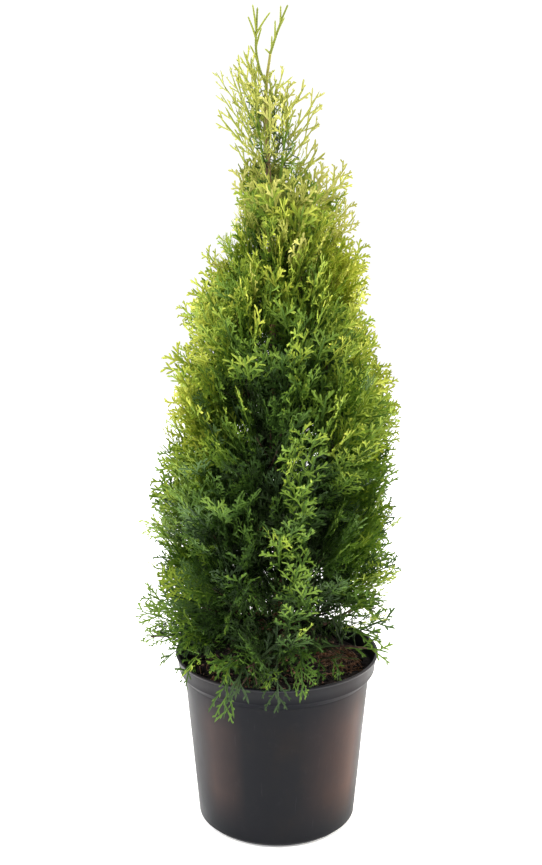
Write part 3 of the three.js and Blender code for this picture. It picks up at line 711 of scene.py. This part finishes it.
def make_pot(material):
    outside = [
        (HUB_RADIUS, 0), (BODY_BASE_RADIUS - BASE_CHAMFER, 0), (body_radius(BASE_CHAMFER), BASE_CHAMFER),
        (BODY_TOP_RADIUS, COLLAR_FOOT), (COLLAR_FOOT_RADIUS, COLLAR_FOOT + COLLAR_CHAMFER),
        (COLLAR_RADIUS, POT_HEIGHT - 2 * LIP), (RIM_RADIUS, POT_HEIGHT - LIP), (RIM_RADIUS, POT_HEIGHT),
        (COLLAR_RADIUS - WALL, POT_HEIGHT), (COLLAR_FOOT_RADIUS - WALL, COLLAR_FOOT + COLLAR_CHAMFER),
        (BODY_TOP_RADIUS - WALL, COLLAR_FOOT), (body_radius(FLOOR) - WALL - BASE_CHAMFER / 2, FLOOR),
        (HUB_RADIUS, FLOOR),
    ]
    profile = rounded_corners(outside, CORNER_RADIUS)
    faces = closed_grid_faces(len(profile), POT_SIDES)
    pot = make_piece("plastic_pot", turned(profile, POT_SIDES), faces, [material])
    drill = Heap()
    for number in range(DRAIN_HOLES):
        spot = DRAIN_CIRCLE * facing((number + 0.5) * 360 / DRAIN_HOLES)
        line = spot + np.array([[0, 0, -FLOOR], [0, 0, 2 * FLOOR]])
        drill.add(*tube(line, [DRAIN_RADIUS, DRAIN_RADIUS], DRAIN_SIDES))
    cutter = drill.piece("drain_cutter", [material])
    cut = pot.modifiers.new("drain", "BOOLEAN")
    cut.object = cutter
    cut.operation = "DIFFERENCE"
    shaped = bpy.data.meshes.new_from_object(pot.evaluated_get(bpy.context.evaluated_depsgraph_get()))
    pot.modifiers.clear()
    pot.data = shaped
    bpy.data.objects.remove(cutter)
    dress(pot, "pot_plastic", "pot")


# ---------------------------------------------------------------- soil
def soil_height(x, y):
    """The soil's surface: level round the trunk, then uneven and sinking towards the wall."""
    out = np.clip((np.hypot(x, y) - TRUNK_APRON) / (BODY_TOP_RADIUS - TRUNK_APRON), 0, 1)
    out = out * out * (3 - 2 * out)
    lumps = np.sin(x / 13 + 1) * np.cos(y / 11) + 0.6 * np.sin((x + y) / 7)
    return GROUND - SOIL_MOUND * out + SOIL_LUMP * lumps * np.sin(math.pi * out)


def make_soil(material):
    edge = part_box("soil")[1][0] / MM
    rings = np.linspace(SOIL_HUB, edge, SOIL_RINGS)
    places = turned([(radius, 0) for radius in rings], SOIL_SIDES)
    x, y = places[:, 0], places[:, 1]
    clods = 0.9 * np.sin(x / 3.1 + 2 * np.sin(y / 5.3)) * np.cos(y / 2.7) + 0.6 * np.sin((x - y) / 1.9)
    inside = np.clip((edge - np.hypot(x, y)) / CLOD_FADE, 0, 1)
    places[:, 2] = soil_height(x, y) + inside * (clods + rng.normal(0, CLOD_GRAIN, len(x)))
    depth = GROUND - 2 * SOIL_BELOW_LIP
    under = [(edge - SOIL_TUCK[0], COLLAR_FOOT), (edge - SOIL_TUCK[1], depth), (SOIL_HUB, depth)]
    places = np.vstack([places, turned(under, SOIL_SIDES)])
    faces = closed_grid_faces(len(rings) + len(under), SOIL_SIDES)[:, ::-1]
    dress(make_piece("soil_surface", places, faces, [material]), "potting_soil", "soil")


def icosahedron():
    """Its corners, at a distance of 1 from the middle, and its faces: all threes of corners that lie an edge
    apart, wound to face outward."""
    t = (1 + math.sqrt(5)) / 2
    corners = [np.roll((a, b * t, 0), axis) for axis in range(3) for b in (1, -1) for a in (-1, 1)]
    edge = 2
    faces = []
    for a, b, c in itertools.combinations(range(len(corners)), 3):
        p, q, r = corners[a], corners[b], corners[c]
        if np.allclose(np.linalg.norm([p - q, q - r, r - p], axis=1), edge):
            faces.append((a, b, c) if np.dot(np.cross(q - p, r - p), p) > 0 else (a, c, b))
    return np.array(corners) / math.hypot(1, t), np.array(faces)


def make_crumbs(materials):
    """Crumbs of soil and bark lying loose on the surface."""
    heap = Heap()
    shape, faces = icosahedron()
    for _ in range(CRUMBS):
        radius = LITTER_RADIUS * math.sqrt(rng.random())
        bearing = rng.uniform(0, 2 * math.pi)
        x, y = radius * math.cos(bearing), radius * math.sin(bearing)
        size = rng.uniform(*CRUMB_SIZES) * (1 + 0.6 * (rng.random() < 0.08))
        stretch = rng.uniform(0.6, 1.4, 3) * [1, 1, 0.7]
        crumb = shape * rng.uniform(0.75, 1.2, (len(shape), 1)) * size * stretch
        crumb += [x, y, soil_height(x, y) + 0.3 * size]
        heap.add(crumb, faces, int(rng.random() < BARK_CRUMBS))
    dress(heap.piece("soil_crumbs", materials), "potting_soil")


def lay_fibres(heap, tints):
    """Brown fibres and dead scale leaves lying on the soil, thickest at the front to the right."""
    for _ in range(FIBRES):
        if rng.random() < THICK_PATCH["share"]:
            bearing = math.radians(rng.normal(THICK_PATCH["azimuth"], THICK_PATCH["spread"]))
            radius = rng.uniform(THICK_PATCH["near"], THICK_PATCH["far"])
        else:
            bearing = rng.uniform(0, 2 * math.pi)
            radius = LITTER_RADIUS * math.sqrt(rng.random())
        spot = radius * np.array([math.cos(bearing), math.sin(bearing)])
        lie = rng.uniform(0, 2 * math.pi)
        half = rng.uniform(*FIBRE_HALVES) * np.array([math.cos(lie), math.sin(lie)])
        flat = np.array([spot - half, spot + rng.normal(0, 3, 2), spot + half])
        flat *= np.minimum(1, LITTER_RADIUS / np.linalg.norm(flat, axis=1))[:, None]
        height = soil_height(flat[:, 0], flat[:, 1]) + [0.4, rng.uniform(1, 6), 0.6]
        line = smooth(np.column_stack([flat, height]), 3)
        heap.add(*tube(line, np.full(len(line), rng.uniform(*FIBRE_RADII)), 3), rng.integers(0, tints))


def grow_dry_twigs(heap, tint):
    """Short dead twigs round the trunk's foot, most of them at the front, each with two side twigs."""
    for _ in range(DRY_TWIGS):
        out = facing(rng.uniform(*FRONT) if rng.random() < FRONT_TWIGS else rng.uniform(0, 360))
        start = on_trunk(GROUND + rng.uniform(*DRY_TWIG_RISE)) + 6 * out
        end = start + rng.uniform(*DRY_TWIG_LENGTHS) * out + [0, 0, rng.uniform(-4, 30)]
        end[2] = max(end[2], GROUND + 6)
        line = sagging(start, end, rng.uniform(-0.15, 0.15), 6)
        heap.add(*tube(line, np.linspace(0.8, 0.4, len(line)), 4), tint)
        for share in (0.45, 0.7):
            fork = along(line, share)
            aside = np.array([-out[1], out[0], 0.3]) * rng.choice([-1, 1]) * rng.uniform(8, 20)
            twiglet = sagging(fork, fork + 12 * out + aside, 0.1, 4)
            heap.add(*tube(twiglet, np.linspace(0.6, 0.35, len(twiglet)), 3), tint)


def make_litter(materials):
    heap = Heap()
    lay_fibres(heap, len(materials))
    grow_dry_twigs(heap, 1)
    dress(heap.piece("dry_litter", materials, rounded=True), "bark")


# ---------------------------------------------------------------- trunk and boughs
TRUNK_CURVE = smooth(TRUNK_LINE)


def on_trunk(height):
    """The trunk's axis at a height."""
    x, y = (np.interp(height, TRUNK_CURVE[:, 2], TRUNK_CURVE[:, axis]) for axis in (0, 1))
    return np.array([x, y, height])


def bark_relief(steps, sides, length):
    """How much each spot of a limb's surface stands out: long ridges that wander and merge, and knots."""
    turn = around(sides)
    rise = np.linspace(0, length, steps)[:, None]
    wander = 0.5 * np.sin(rise / 23) + 0.3 * np.sin(rise / 9 + 1)
    ridges = 0.55 * np.sin(5 * turn + wander) + 0.45 * np.sin(9 * turn - 1.6 * wander + 2)
    flakes = np.sin(13 * turn + rise / 4) * np.sin(rise / 3.1 + 3 * np.sin(turn))
    return 1 + 0.06 * ridges + 0.035 * flakes + rng.normal(0, 0.012, (steps, sides))


def add_limb(heap, line, radius_at, sides, steps):
    share = np.linspace(0, 1, steps)
    radii = radius_at(share)[:, None] * bark_relief(steps, sides, length_of(line))
    heap.add(*tube(along(line, share), radii, sides))


def make_trunk(material):
    heap = Heap()
    foot = on_trunk(GROUND - 1)
    line = np.vstack([foot, TRUNK_CURVE[TRUNK_CURVE[:, 2] > GROUND]])

    def radius_at(share):
        above = along(line, share)[:, 2] - GROUND
        flare = ROOT_FLARE * np.exp(-3 * np.maximum(above, 0) / FLARE_HEIGHT)
        return TRUNK_RADIUS + (TRUNK_TIP_RADIUS - TRUNK_RADIUS) * share + flare

    add_limb(heap, line, radius_at, sides=28, steps=300)
    dress(heap.piece("trunk_bark", [material], rounded=True), "bark", "trunk")


def make_boughs(masses, material):
    heap = Heap()
    names = []
    for mass in masses:
        if mass["bough"] is None:
            continue
        radius = mass["radius"]
        taper = 1 - FORK_TAPER
        add_limb(heap, mass["bough"], lambda share: radius * (1 - taper * share), sides=12, steps=40)
        names.append(mass["bough_name"])
    dress(heap.piece("boughs_bark", [material], rounded=True), "bark", *names)


# ---------------------------------------------------------------- plan of the crown
def outline_radius(height):
    return np.interp(height, OUTLINE[:, 0], OUTLINE[:, 1])


def on_outline(azimuth, height, share):
    """A spot at a share of the way out to the crown's outline."""
    middle = np.array([np.interp(height, OUTLINE[:, 0], OUTLINE[:, 2]), 0, height])
    return middle + outline_radius(height) * share * facing(azimuth)


def spread(seed, count, step):
    """A number from 0 to 1 that spreads evenly as count grows, from a different start for each seed."""
    return (seed * GOLDEN * PLASTIC + count * step) % 1


def plan_mass(ring, number, seed):
    azimuth = ring["turn"] + number * 360 / ring["count"]
    root = on_trunk(ring["leave"] + STAGGER * (number % 3))
    crest = on_outline(azimuth, ring["crest"][1], ring["crest"][0])
    fork = root + BOUGHLESS_FORK * (crest - root)
    forks = "fork" in ring
    if forks:
        fork = on_outline(azimuth, ring["fork"][1], ring["fork"][0])
    knee = (root + fork) / 2 - [0, 0, LIMB_SAG * np.linalg.norm(fork - root)]
    whole = smooth([root, knee, fork, crest], LIMB_STEPS)
    at_fork = 2 * LIMB_STEPS if forks else 0
    targets = []
    for i in range(ring["twigs"]):
        height = ring["low"] + (ring["high"] - ring["low"]) * (i + 0.5) / ring["twigs"]
        aside = (spread(seed, i, GOLDEN) - 0.5) * SECTOR_SHARE * 360 / ring["count"]
        targets.append((azimuth + aside, height, 1 - REACH_VARIES * spread(seed, i, PLASTIC)))
    if "hangs" in ring:
        targets.reverse()
    name = f"{ring['name']}_foliage_{number + 1}"
    targets += [spot for of, *spot in REACHING if of == name]
    return dict(
        ring=ring, azimuth=azimuth, targets=targets, name=name,
        bough_name=name.replace("foliage", "bough"),
        bough=whole[:at_fork + 1] if forks else None,
        stem=whole[at_fork:], radius=ring["radius"],
        stem_radius=ring["radius"] * (FORK_TAPER if forks else 1),
    )


def plan_crown():
    places = [(ring, number) for ring in RINGS for number in range(ring["count"])]
    return [plan_mass(ring, number, seed) for seed, (ring, number) in enumerate(places)]


# ---------------------------------------------------------------- sprays
def blade(heap, start, heading, length, width, tone):
    """A short twiglet: a flat blade with a blunt tip, its sides bent down along a middle facet."""
    angle = math.radians(heading)
    forward = np.array([math.cos(angle), math.sin(angle), rng.normal(0, 0.16)])
    aside = np.array([-math.sin(angle), math.cos(angle), rng.normal(0, 0.2)]) * width / 2
    fall = np.array([0, 0, -RIDGE * width])
    shoulder = start + forward * length * 0.72 + fall
    places = np.array([start + 0.6 * aside, start - 0.6 * aside, start + forward * length,
                       shoulder + aside, shoulder - aside])
    heap.add(places, np.array([[0, 1, 2], [0, 2, 3], [1, 4, 2]]), tone)


def strip(heap, start, heading, bend, length, width, rings, tone):
    """A longer strand with a ridge along its middle, which bends in the spray's plane. rings: share of the
    length and share of the width. Returns its middle line."""
    shares = np.array([share for share, _ in rings] + [1])
    widths = np.array([broad for _, broad in rings])[:, None] * width
    headings = math.radians(heading) + math.radians(bend) * shares
    middles = (headings[:-1] + headings[1:]) / 2
    steps = np.diff(shares) * length
    moves = np.stack([np.cos(middles) * steps, np.sin(middles) * steps, rng.normal(0, 0.1) * steps], 1)
    line = start + np.vstack([np.zeros(3), np.cumsum(moves, axis=0)])
    aside = np.stack([-np.sin(headings), np.cos(headings), np.zeros(len(headings))], 1)[:-1] / 2
    aside = aside + [0, 0, rng.normal(0, 0.1)]
    fall = np.array([0, 0, -RIDGE])
    rows = np.stack([line[:-1] + (aside + fall) * widths, line[:-1], line[:-1] + (fall - aside) * widths], 1)
    places = np.vstack([rows.reshape(-1, 3), line[-1:]])
    tip = len(places) - 1
    faces = [(tip - 3, tip, tip - 2), (tip - 2, tip, tip - 1)]
    for row in range(0, tip - 3, 3):
        for left in (row, row + 1):
            faces += [(left, left + 3, left + 1), (left + 1, left + 3, left + 4)]
    heap.add(places, np.array(faces), tone)
    return line


def grow_shape(habit, length):
    """One spray, flat in its x, y plane with its foot at the origin and its tip towards +x: a rachis,
    branchlets to either side in turn, and twiglets on those. Gives places, faces, and a tone for each face,
    from 0 at the spray's foot to 1 at its outer edge."""
    heap = Heap()
    rule = HABITS[habit]
    sway = rng.normal(0, 8)
    rachis = strip(heap, np.zeros(3), -sway / 2, sway, length, rule["width"],
                   [(0, 0.7), (0.3, 1), (0.65, 1), (0.92, 0.8)], 0.3)
    side = rng.choice([-1, 1])
    at = 0.08 * length + rng.uniform(0, rule["spacing"])
    while at < length - 5:
        share = at / length
        rise = share / rule["widest"] if share < rule["widest"] else (1 - share) / (1 - rule["widest"])
        longest = rule["reach"] * (length / SPRAY_LENGTH) ** 0.8
        branch = (longest * rise ** 0.7 + SHORTEST_BRANCH) * rng.uniform(0.82, 1.12)
        angle = side * (rule["angle"] + rng.normal(0, 5)) + sway * (share - 0.5)
        bend = -side * rng.uniform(6, 20)
        edge = 0.2 + 0.7 * share
        line = strip(heap, along(rachis, share), angle, bend, branch, rule["width"],
                     [(0, 0.6), (0.55, 1), (0.88, 0.85)], min(edge + 0.15, 1))
        reach = TWIGLET_FOOT + rng.uniform(0, 2)
        turn = -side
        while reach < branch - 3:
            part = reach / branch
            fullness = branch / (longest + SHORTEST_BRANCH)
            size = rule["twiglet"] * (1 - 0.5 * part) * (0.55 + 0.45 * fullness)
            heading = angle + bend * part + turn * (TWIGLET_ANGLE + rng.normal(0, 7))
            blade(heap, along(line, part), heading, size * rng.uniform(0.8, 1.2), rule["width"] * 0.95,
                  min(edge + 0.4 * part + 0.1, 1))
            turn = -turn
            reach += rule["gap"] * rng.uniform(0.6, 1)
        side = -side
        at += rule["spacing"] * rng.uniform(0.85, 1.15)
    return np.vstack(heap.places), np.vstack(heap.faces), np.concatenate(heap.tints)


def in_pot(places):
    """Whether any place is in the pot's wall or in the soil, or nearer than the clearance."""
    x, y, z = places.T
    out = np.hypot(x, y)
    wall = (out > COLLAR_FOOT_RADIUS - WALL - CLEARANCE) & (out < RIM_RADIUS + CLEARANCE)
    soil = (out <= RIM_RADIUS) & (z < soil_height(x, y) + CLEARANCE)
    return bool(((wall & (z < POT_HEIGHT + CLEARANCE)) | soil).any())


def place_spray(shape, size, foot, tip, azimuth, turn, curl):
    """Places of a spray between its foot and its tip, turned about its line from upright, and curled up
    towards its tip."""
    length = np.linalg.norm(tip - foot)
    forward = (tip - foot) / length
    out = facing(azimuth)
    across = np.array([-out[1], out[0], 0])
    normal = unit(across - forward * np.dot(across, forward))
    side = np.cross(normal, forward)
    angle = math.radians(turn)
    normal, side = (normal * math.cos(angle) + side * math.sin(angle),
                    side * math.cos(angle) - normal * math.sin(angle))
    up = np.array([0, 0, 1.0]) - forward * forward[2]
    x, y, z = (shape * (length / size)).T
    share = np.clip(x / length, 0, 1.2)
    sag = -2 * curl * length * share * (1 - share)
    return foot + np.outer(x, forward) + np.outer(y, side) + np.outer(z, normal) + np.outer(sag, up)


def deal_tints(tones, level, hue):
    """A leaf colour for each face of a spray from its tones and the spray's own level."""
    steps = np.clip(np.round(level + TONE_RANGE * (tones - 0.5)), 0, SUNNIEST).astype(int)
    if hue == "bluish":
        return np.where(steps > 3, BLUISH + 1, np.where(steps > 1, BLUISH, steps))
    if hue == "pale":
        return np.where(steps > 2, PALE + np.clip(steps - 3, 0, DRY - PALE - 1), steps)
    return steps


class Crown:
    """What grows: one heap of twigs, and the shapes that sprays are copied from."""

    def __init__(self):
        self.twigs = Heap()
        self.shapes = {(habit, size): [grow_shape(habit, size) for _ in range(KINDS)]
                       for habit in HABITS for size in SIZES}

    def spray(self, heap, leave, tip, azimuth, turn, habit, level, curl, hue=None, share=0.8, rise=None):
        """A spray that reaches a tip from the spot where its twig leaves another. With a rise, it leans
        towards that many degrees above level."""
        reach = np.linalg.norm(tip - leave)
        heading = (tip - leave) / reach
        if rise is not None:
            steep = math.radians(rise)
            away = math.cos(steep) * facing(azimuth) + [0, 0, math.sin(steep)]
            heading = unit(heading + STEEPENING * away)
        length = min(float(np.clip(share * reach, *SPRAY_LENGTHS)), LONGEST_SHARE * reach)
        foot = tip - heading * length
        size = min(SIZES, key=lambda grown: abs(grown - length))
        places, faces, tones = self.shapes[habit, size][rng.integers(KINDS)]
        for more in FURTHER_TURNS:
            placed = place_spray(places, size, foot, tip, azimuth, turn + more, curl)
            if not in_pot(placed):
                heap.add(placed, faces, deal_tints(tones, level, hue))
                shade = int(np.clip(level - 1, 0, GREEN_TWIG))
                heap.add(*tube(sagging(leave, foot, 0.05, 3), np.linspace(*STALK_RADII, 3), 3), shade)
                return

    def twig(self, heap, line, radii, sides):
        """A twig along a line: woody below, and still green in the youngest growth at the top."""
        shape = tube(line, np.linspace(*radii, len(line)), sides)
        if line[0][2] > GREEN_ABOVE:
            heap.add(*shape, GREEN_TWIG)
        else:
            self.twigs.add(*shape)


def zone(zones, azimuth, height):
    """What zones add up to at a spot on the crown: each fades out around its middle."""
    total = 0
    for middle, level, wide, tall, amount in zones:
        aside = (azimuth - middle + 180) % 360 - 180
        total += amount * math.exp(-((aside / wide) ** 2) - ((height - level) / tall) ** 2)
    return total


def at_height(rows, height):
    heights, values = zip(*rows)
    return float(np.interp(height, heights, values))


def deal_hue(height):
    """Bluish, pale or plain, by chance."""
    chance = rng.random()
    if chance < at_height(BLUISHNESS, height):
        return "bluish"
    return "pale" if chance > 1 - at_height(PALENESS, height) else None


def grow_mass(crown, mass, heap):
    """The mass's stem, its twigs, and a disc of fine sprays round the spot that each twig reaches."""
    ring = mass["ring"]
    growth = GROWTH[ring["name"]]
    count = len(mass["targets"])
    crown.twig(heap, along(mass["stem"], np.linspace(0, 1, 12)), (mass["stem_radius"], STEM_TIP_RADIUS), 6)
    for i, (azimuth, height, reach) in enumerate(mass["targets"]):
        root = along(mass["stem"], ring["start"] + (ring["end"] - ring["start"]) * (i + 0.5) / count)
        target = on_outline(azimuth, height, reach)
        branch = sagging(root, root + TWIG_SHARE * (target - root), 0.06, 6)
        if zone(BARE, azimuth, height) < NO_TWIG:
            crown.twig(heap, branch, TWIG_RADII, 4)
        lean = SPRAY_LEAN if i % 2 else -SPRAY_LEAN
        for k in range(growth["finer"]):
            turn = math.radians(k * GOLDEN_ANGLE + DISC_TURN * i)
            out = growth["over"] * math.sqrt((k + 0.4) / growth["finer"])
            spot_azimuth = azimuth + math.degrees(out * math.cos(turn) / outline_radius(height))
            spot_height = height + out * math.sin(turn)
            if rng.random() < zone(BARE, spot_azimuth, spot_height):
                continue
            depth = 1 - growth["less"] * rng.random() ** 1.2
            hollow = zone(HOLLOWS, spot_azimuth, spot_height)
            share = growth["reach"] * depth * min(reach + 0.05, 1) * (1 - hollow)
            level = at_height(LEVELS, spot_height) + rng.normal(0, LEVEL_VARIES)
            level += zone(SUNNY, spot_azimuth, spot_height) - SHADE_OF_DEPTH * (1 - depth) - SHADED * hollow
            leave = along(branch, BARE_FOOT + (1 - BARE_FOOT) * (k + 0.5) / growth["finer"])
            tip = on_outline(spot_azimuth, spot_height, share)
            spray_turn = lean + rng.normal(0, TURN_VARIES)
            habit = rng.choice(list(HABITS), p=growth["habits"])
            curl = at_height(CURLS, spot_height) + rng.normal(0, CURL_VARIES)
            crown.spray(heap, leave, tip, spot_azimuth, spray_turn, habit, level, curl,
                        deal_hue(spot_height), rise=at_height(RISES, spot_height))


def grow_column(crown, heap):
    """The bright column at the crown's front."""
    for i in range(COLUMN["sprays"]):
        share = (i + 0.5) / COLUMN["sprays"]
        azimuth = COLUMN["azimuth"] + COLUMN["aside"] * share + rng.normal(0, COLUMN["azimuth_varies"])
        height = COLUMN["height"] - COLUMN["down"] * share
        leave = on_outline(azimuth, height - COLUMN["below"], COLUMN["leave"])
        tip = on_outline(azimuth, height, rng.uniform(*COLUMN["reach"]))
        turn = COLUMN["turn"] * (-1) ** i + rng.normal(0, COLUMN["turn_varies"])
        level = rng.normal(COLUMN["level"] - COLUMN["fade"] * share, COLUMN["level_varies"])
        habit = "fan" if i % 3 else "plume"
        crown.spray(heap, leave, tip, azimuth, turn, habit, level, COLUMN["curl"], rise=COLUMN["rise"])


def grow_inside(crown, mass, heap):
    """Shaded sprays that leave the limb itself and end well inside the crown."""
    ring = mass["ring"]
    limb = mass["stem"] if mass["bough"] is None else np.vstack([mass["bough"], mass["stem"]])
    habit = "plume" if ring["name"] == "neck" else "fan"
    for _ in range(GROWTH[ring["name"]]["inner"]):
        leave = along(limb, rng.uniform(*INSIDE["leave"]))
        azimuth = mass["azimuth"] + rng.uniform(-0.5, 0.5) * 360 / ring["count"]
        height = leave[2] + rng.uniform(*INSIDE["above"])
        tip = on_outline(azimuth, height, rng.uniform(*INSIDE["reach"]))
        long_enough = np.linalg.norm(tip - leave) > INSIDE["shortest"]
        if long_enough and rng.random() > zone(BARE, azimuth, height):
            turn = rng.normal(0, INSIDE["turn"])
            level = at_height(LEVELS, height) - at_height(DIMNESS, height) * rng.uniform(*INSIDE["dim"])
            crown.spray(heap, leave, tip, azimuth, turn, habit, level, at_height(CURLS, height),
                        deal_hue(height), share=INSIDE["share"])


def make_foliage(crown, masses, materials, woody):
    slots = {"skirt": "foliage_shade", "low": "foliage_shade", "middle": "foliage_green",
             "upper": "foliage_green", "shoulder": "foliage_light", "neck": "foliage_light"}
    for ring in RINGS:
        heap = Heap()
        members = [mass for mass in masses if mass["ring"] is ring]
        for mass in members:
            grow_mass(crown, mass, heap)
            grow_inside(crown, mass, heap)
        if ring["name"] == "middle":
            grow_column(crown, heap)
        if ring["name"] == "neck":
            grow_shoots(heap)
        for leave, tip, habit, turn, level, *hue in STANDING_OUT[ring["name"]]:
            azimuth = math.degrees(math.atan2(tip[1], tip[0]))
            curl = at_height(CURLS, tip[2])
            crown.spray(heap, np.array(leave, float), np.array(tip, float), azimuth, turn, habit, level, curl,
                        *(hue or [deal_hue(tip[2])]), share=STANDING_OUT_SHARE)
        names = [mass["name"] for mass in members]
        if ring["name"] == "neck":
            names += [f"{shoot['name']}_foliage" for shoot in SHOOTS]
        dress(heap.piece(f"{ring['name']}_sprays", materials), slots[ring["name"]], *names)
    dress(crown.twigs.piece("woody_twigs", [woody], rounded=True), "bark")


def scaly_strand(heap, line, thickest, tone):
    """A strand wrapped in pairs of scale leaves: it swells and narrows every few millimetres."""
    steps = max(int(length_of(line) / SCALE_LENGTH), 5)
    share = np.linspace(0, 1, steps)
    radii = thickest * (1 - 0.35 * share) * np.where(np.arange(steps) % 2, 1, 0.85)
    radii[-1] = 0.3
    heap.add(*tube(along(line, share), radii, 5), tone)


def grow_shoots(heap):
    """The leading shoots: a stem each, wrapped in scale leaves, with prongs of the same kind."""
    for shoot in SHOOTS:
        stem = smooth(shoot["line"])
        scaly_strand(heap, stem, shoot["radius"], PALE)
        for share, tip in shoot["prongs"]:
            start = along(stem, share)
            prong = sagging(start, np.array(tip, float), -0.08, 5)
            scaly_strand(heap, prong, PRONG_THICKNESS * shoot["radius"], PALE + 1)


# ---------------------------------------------------------------- studio
def make_camera():
    data = bpy.data.cameras.new("camera")
    data.sensor_width = CAMERA_SENSOR
    data.lens = CAMERA_LENS
    data.clip_end = 100
    camera = add_object("camera", data)
    camera.location = CAMERA_PLACE
    camera.rotation_euler = (math.radians(90 - CAMERA_DIP), 0, 0)
    bpy.context.scene.camera = camera


def make_softbox(name, place, size, power, color):
    data = bpy.data.lights.new(name, "AREA")
    data.shape = "RECTANGLE"
    data.size, data.size_y = size
    data.energy = power
    data.color = color
    light = add_object(name, data)
    light.location = place
    light.rotation_euler = (Vector(SOFTBOX_AIM) - Vector(place)).to_track_quat("-Z", "Y").to_euler()


def make_world():
    """A white room, brightest behind the plant and dim in front. The camera sees plain white behind all."""
    world = bpy.data.worlds.new("studio")
    world.use_nodes = True
    tree = world.node_tree
    generated = add_node(tree, "TexCoord", {}).outputs["Generated"]
    parts = add_node(tree, "SeparateXYZ", {"Vector": generated}).outputs
    light = ramp(tree, scaled(tree, parts["Y"], 0.5, 0.5), *ROOM)
    room = wire(tree.nodes["Background"], {"Color": light, "Strength": ROOM_STRENGTH})
    white = add_node(tree, "Background", {"Color": linear(1), "Strength": BACKDROP_STRENGTH})
    seen = add_node(tree, "LightPath", {}).outputs["Is Camera Ray"]
    inputs = {"Fac": seen, 1: room.outputs["Background"], 2: white.outputs["Background"]}
    choice = add_node(tree, "MixShader", inputs)
    wire(tree.nodes["World Output"], {"Surface": choice.outputs["Shader"]})
    bpy.context.scene.world = world


def make_floor():
    material, tree, shader = new_material("floor_look", 0.95, 0.8, 0.1)
    wire(shader, {
        "Base Color": ramp(tree, noise(tree, 3, 3), (0.3, 0.94), (0.7, 0.96)),
        "Emission Color": linear(1),
        "Emission Strength": 0.3,
    })
    corners = np.array([[-1, -1, 0], [1, -1, 0], [1, 1, 0], [-1, 1, 0]]) * FLOOR_HALF
    make_piece("floor", corners, np.array([[0, 1, 2, 3]]), [material])


def make_studio():
    make_world()
    bpy.context.scene.view_settings.view_transform = "Standard"
    make_floor()
    for name, softbox in SOFTBOXES.items():
        make_softbox(name, **softbox)


leaf_materials = make_leaf_materials()
bark = make_bark()
woody = make_woody()
peat = make_peat()
make_camera()
make_studio()
make_pot(make_plastic())
make_soil(peat)
make_crumbs([peat, bark])
make_litter([woody, bark, leaf_materials[DRY]])
make_trunk(bark)
planned = plan_crown()
make_boughs(planned, bark)
make_foliage(Crown(), planned, leaf_materials, woody)
